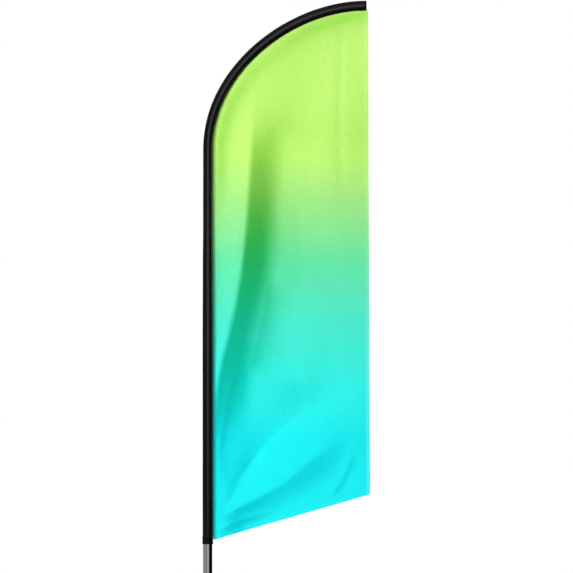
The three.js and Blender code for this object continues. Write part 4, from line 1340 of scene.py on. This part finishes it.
class BANNER_OT_base(bpy.types.Operator):
    """Make the visible pieces of the rotator and the cross base"""

    bl_idname = "banner.base"
    bl_label = "Rotator and base"

    def execute(self, context):
        sizes = context.scene.banner_base
        self.rotator(sizes)
        self.hub(sizes)
        self.knob(sizes)
        for level in ("lower", "upper"):
            self.leg(level, sizes)
        return {"FINISHED"}

    def rotator(self, sizes):
        low, high = node_bounds("rotator_tube")
        flange = high.x
        top = low.z + 0.006
        wall, bore = 0.0142, 0.0123
        piece = turned(
            "rotator_body",
            [
                (bore, low.z),
                (flange - 0.001, low.z),
                (flange, low.z + 0.001),
                (flange, top - 0.001),
                (flange - 0.001, top),
                (wall, top),
                (wall, high.z),
                (bore, high.z),
            ],
        )
        drilled(piece, BUTTON_HOLE, -0.006, 0.006, 48, (0, -wall, middle_height("snap_button")))
        place(bevelled(piece, sizes.edge), "banner", "steel", "rotator_tube")
        low, high = node_bounds("mast_foot_ferrule")
        outer = high.x
        collar = turned(
            "mast_foot_collar",
            [
                (FERRULE_BORE, low.z),
                (outer, low.z),
                (outer, low.z + 0.004),
                (outer - 0.0004, low.z + 0.0046),
                (outer - 0.0004, low.z + 0.0058),
                (outer, low.z + 0.0064),
                (outer, high.z - 0.0015),
                (outer - 0.001, high.z),
                (FERRULE_SOCKET, high.z),
                (FERRULE_SOCKET, low.z + 0.003),
                (FERRULE_BORE, low.z + 0.003),
            ],
        )
        bevelled(collar, sizes.edge * 0.6)
        place(collar, "banner", "plastic", "mast_foot_ferrule")
        low, high = node_bounds("snap_button")
        tip, stem, head = low.y, 0.0035, 0.0042
        shoulder = high.y - 0.0012
        profile = [
            (0, tip),
            (stem - 0.0016, tip),
            (stem - 0.0005, tip + 0.0006),
            (stem, tip + 0.0016),
            (stem, shoulder),
            (head, shoulder),
            (head, high.y),
            (0, high.y),
        ]
        button = pin("button_pin", profile, 48, (0, 0, middle_height("snap_button")))
        place(smooth(button), "snap_button", "bright", "snap_button")

    def hub(self, sizes):
        low, high = node_bounds("hub_foot")
        radius, top = high.x, high.z
        foot = turned(
            "centre_foot",
            [
                (0, 0),
                (radius - 0.006, 0),
                (radius - 0.005, 0.0004),
                (radius - 0.004, 0),
                (radius - 0.001, 0),
                (radius, 0.001),
                (radius, top),
                (FOOT_WELL, top),
                (FOOT_WELL, top - 0.004),
                (0, top - 0.004),
            ],
        )
        place(bevelled(foot, sizes.edge), "base", "rubber", "hub_foot")
        for node, body, slot, name in (
            ("leg_spacer", "base", "nylon", "leg_spacer_disc"),
            ("lock_washer", "leg_lock", "steel", "lock_washer_disc"),
        ):
            low, high = node_bounds(node)
            ring = turned(name, disc(high.x, low.z, high.z, SPINDLE_BORE))
            place(bevelled(ring, 0.0003), body, slot, node)
        low, high = node_bounds("spindle")
        shank, seat, neck, thread = 0.008, 0.0057, 0.0046, 0.0049
        shank_top, thread_foot = 0.0782, 0.2825
        spindle = turned(
            "spindle_shaft",
            [
                (0, low.z),
                (high.x, low.z),
                (high.x, low.z + 0.0037),
                (shank, low.z + 0.0037),
                (shank, shank_top),
                (seat, shank_top),
                (seat, 0.0845),
                (neck, 0.0865),
                (neck, 0.2745),
                (seat, 0.2765),
                (seat, thread_foot),
                (thread, thread_foot),
                (thread, high.z - 0.001),
                (thread - 0.001, high.z),
                (0, high.z),
            ],
            64,
        )
        place(bevelled(spindle, 0.0003), "base", "steel", "spindle")

    def knob(self, sizes):
        low, high = node_bounds("leg_lock_knob")
        foot, top = low.z, high.z
        lobes, around = 7, 168
        levels = [
            (0.0083, foot + 0.0006),
            (0.0090, foot),
            (-0.0030, foot),
            (-0.0012, foot + 0.0008),
            (0.0, foot + 0.0026),
            (0.0, top - 0.0034),
            (-0.0010, top - 0.0012),
            (-0.0030, top),
            (0.0215, top),
            (0.0200, top - 0.0010),
            (0.0190, top - 0.0028),
            (0.0112, top - 0.0030),
            (0.0102, top - 0.0022),
            (0.0083, top - 0.0022),
        ]

        def radius_at(level, height, angle):
            """The levels inside the bore and the dish are radii; the others are past the lobes."""
            lobe = sizes.knob_radius + sizes.knob_lobe * math.cos(lobes * angle)
            return level if level > 0.005 else lobe + level

        piece = smooth(ringed("lock_knob", levels, around, radius_at), 35)
        place(piece, "leg_lock", "plastic", "leg_lock_knob")

    def leg(self, level, sizes):
        """A bar of square tube with its end plugs and its ribbed rubber feet."""
        body = "base" if level == "lower" else "upper_leg"
        turn = Matrix.Rotation(math.radians(45 if level == "lower" else -45), 4, "Z")
        low, high = node_bounds(f"{level}_leg")
        length = LEG_HALF_LENGTH[level]
        piece = self.tube(f"{level}_leg_tube", -length, length, low.z, high.z)
        drilled(piece, SPINDLE_BORE, low.z - 0.01, high.z + 0.01, 64, axis="Z")
        piece.data.transform(turn)
        place(smooth(piece), body, "paint", f"{level}_leg")
        for end, side in (("left", -1), ("right", 1)):
            plug = self.end_plug(f"{level}_leg_{end}_plug", length, low.z, high.z)
            plug.data.transform(turn @ Matrix.Rotation(math.pi if side < 0 else 0.0, 4, "Z"))
            bevelled(plug, 0.0006, 3)
            place(plug, body, "plastic", f"{level}_leg_{end}_end_plug")
            centre_x = side * (length - FOOT_INSET)
            foot = self.foot(f"{level}_leg_{end}_rubber", centre_x, low.z - 0.0003, sizes)
            foot.data.transform(turn)
            place(smooth(foot, 35), body, "rubber", f"{level}_leg_{end}_foot")

    def outline(self, foot, top, inset=0.0, corner=LEG_CORNER, segments=6):
        """The leg's section with rounded corners, drawn in by the inset."""
        half_width = LEG_HALF_WIDTH - inset
        foot, top = foot + inset, top - inset
        points = []
        for y, z, start in (
            (half_width - corner, top - corner, 0),
            (-half_width + corner, top - corner, 90),
            (-half_width + corner, foot + corner, 180),
            (half_width - corner, foot + corner, 270),
        ):
            for i in range(segments + 1):
                angle = math.radians(start + 90 * i / segments)
                points.append((y + corner * math.cos(angle), z + corner * math.sin(angle)))
        return points

    def bar(self, name, x0, x1, outline):
        """A solid bar along X."""
        count = len(outline)
        faces = grid_faces(2, count, True)
        faces += [tuple(range(count)), tuple(range(2 * count - 1, count - 1, -1))]
        return clean(object_from(name, [(x, y, z) for x in (x0, x1) for y, z in outline], faces))

    def tube(self, name, x0, x1, foot, top):
        """A square tube along X, open at both ends."""
        outer = self.outline(foot, top)
        inner = self.outline(foot, top, LEG_WALL, LEG_CORNER - LEG_WALL / 2)
        count = len(outer)
        vertices = [(x, y, z) for x in (x0, x1) for ring in (outer, inner) for y, z in ring]
        faces = []
        for i in range(count):
            j = (i + 1) % count
            for first, second in ((0, 2 * count), (count, 3 * count), (0, count), (2 * count, 3 * count)):
                faces.append((first + i, first + j, second + j, second + i))
        return clean(object_from(name, vertices, faces))

    def end_plug(self, name, length, foot, top):
        gap = 0.0003
        cap = self.bar("cap", length + gap, length + gap + 0.004, self.outline(foot, top))
        inner = self.outline(foot, top, LEG_WALL + gap, LEG_CORNER - LEG_WALL)
        stem = self.bar(name, length - 0.016, length + gap + 0.001, inner)
        return combined(stem, cap, "UNION")

    def foot(self, name, centre_x, top, sizes):
        """A rubber foot with a rim under it, and ribs round its side where it is tall."""
        radius, bore, seat_bore = 0.016, 0.0028, 0.0053
        ribs = sizes.tread_count
        seat = top - 0.005
        levels = [(bore, seat), (seat_bore, seat), (seat_bore, 0.0)]
        levels += [(radius - 0.0012, 0.0), (radius, 0.0012)]
        if top > TALL_FOOT:
            levels += [
                (radius - 0.0004, 0.0035),
                (radius - 0.0016, 0.0045),
                (radius - 0.0008, 0.0085),
                (radius - 0.0008, top - 0.006),
                (radius - 0.0016, top - 0.004),
            ]
        levels += [(radius - 0.0015, top - 0.0010), (radius - 0.0024, top), (bore, top)]

        def radius_at(level, height, angle):
            ribbed = 0.0035 < height < top - 0.003 and level > 0.01
            return level - (0.0006 * (0.5 - 0.5 * math.cos(ribs * angle)) ** 2 if ribbed else 0.0)

        return ringed(name, levels, ribs * 6, radius_at, centre_x)


class BANNER_PT_sidebar(bpy.types.Panel):
    """The banner's operators and sizes"""

    bl_idname = "BANNER_PT_sidebar"
    bl_label = "Feather banner"
    bl_space_type = "VIEW_3D"
    bl_region_type = "UI"
    bl_category = "Banner"

    def draw(self, context):
        for operator in operators:
            self.layout.operator(operator.bl_idname)
        for name, group in groups.items():
            box = self.layout.box()
            for key in group.__annotations__:
                box.prop(getattr(context.scene, name), key)


operators = (BANNER_OT_panel, BANNER_OT_sleeve, BANNER_OT_mast, BANNER_OT_base, BANNER_OT_stage)
groups = {
    "banner_cloth": BannerClothSizes,
    "banner_sleeve": BannerSleeveSizes,
    "banner_base": BannerBaseSizes,
    "banner_stage": BannerStageSizes,
}


def register():
    for made in (*groups.values(), *operators, BANNER_PT_sidebar):
        bpy.utils.register_class(made)
    for name, group in groups.items():
        setattr(bpy.types.Scene, name, PointerProperty(type=group))


def unregister():
    for name in groups:
        delattr(bpy.types.Scene, name)
    for made in (BANNER_PT_sidebar, *operators, *groups.values()):
        bpy.utils.unregister_class(made)


def main():
    register()
    make_finishes()
    finish_nodes()
    bpy.ops.banner.panel()
    bpy.ops.banner.sleeve()
    bpy.ops.banner.mast()
    bpy.ops.banner.base()
    bpy.ops.banner.stage()


if __name__ == "__main__":
    main()
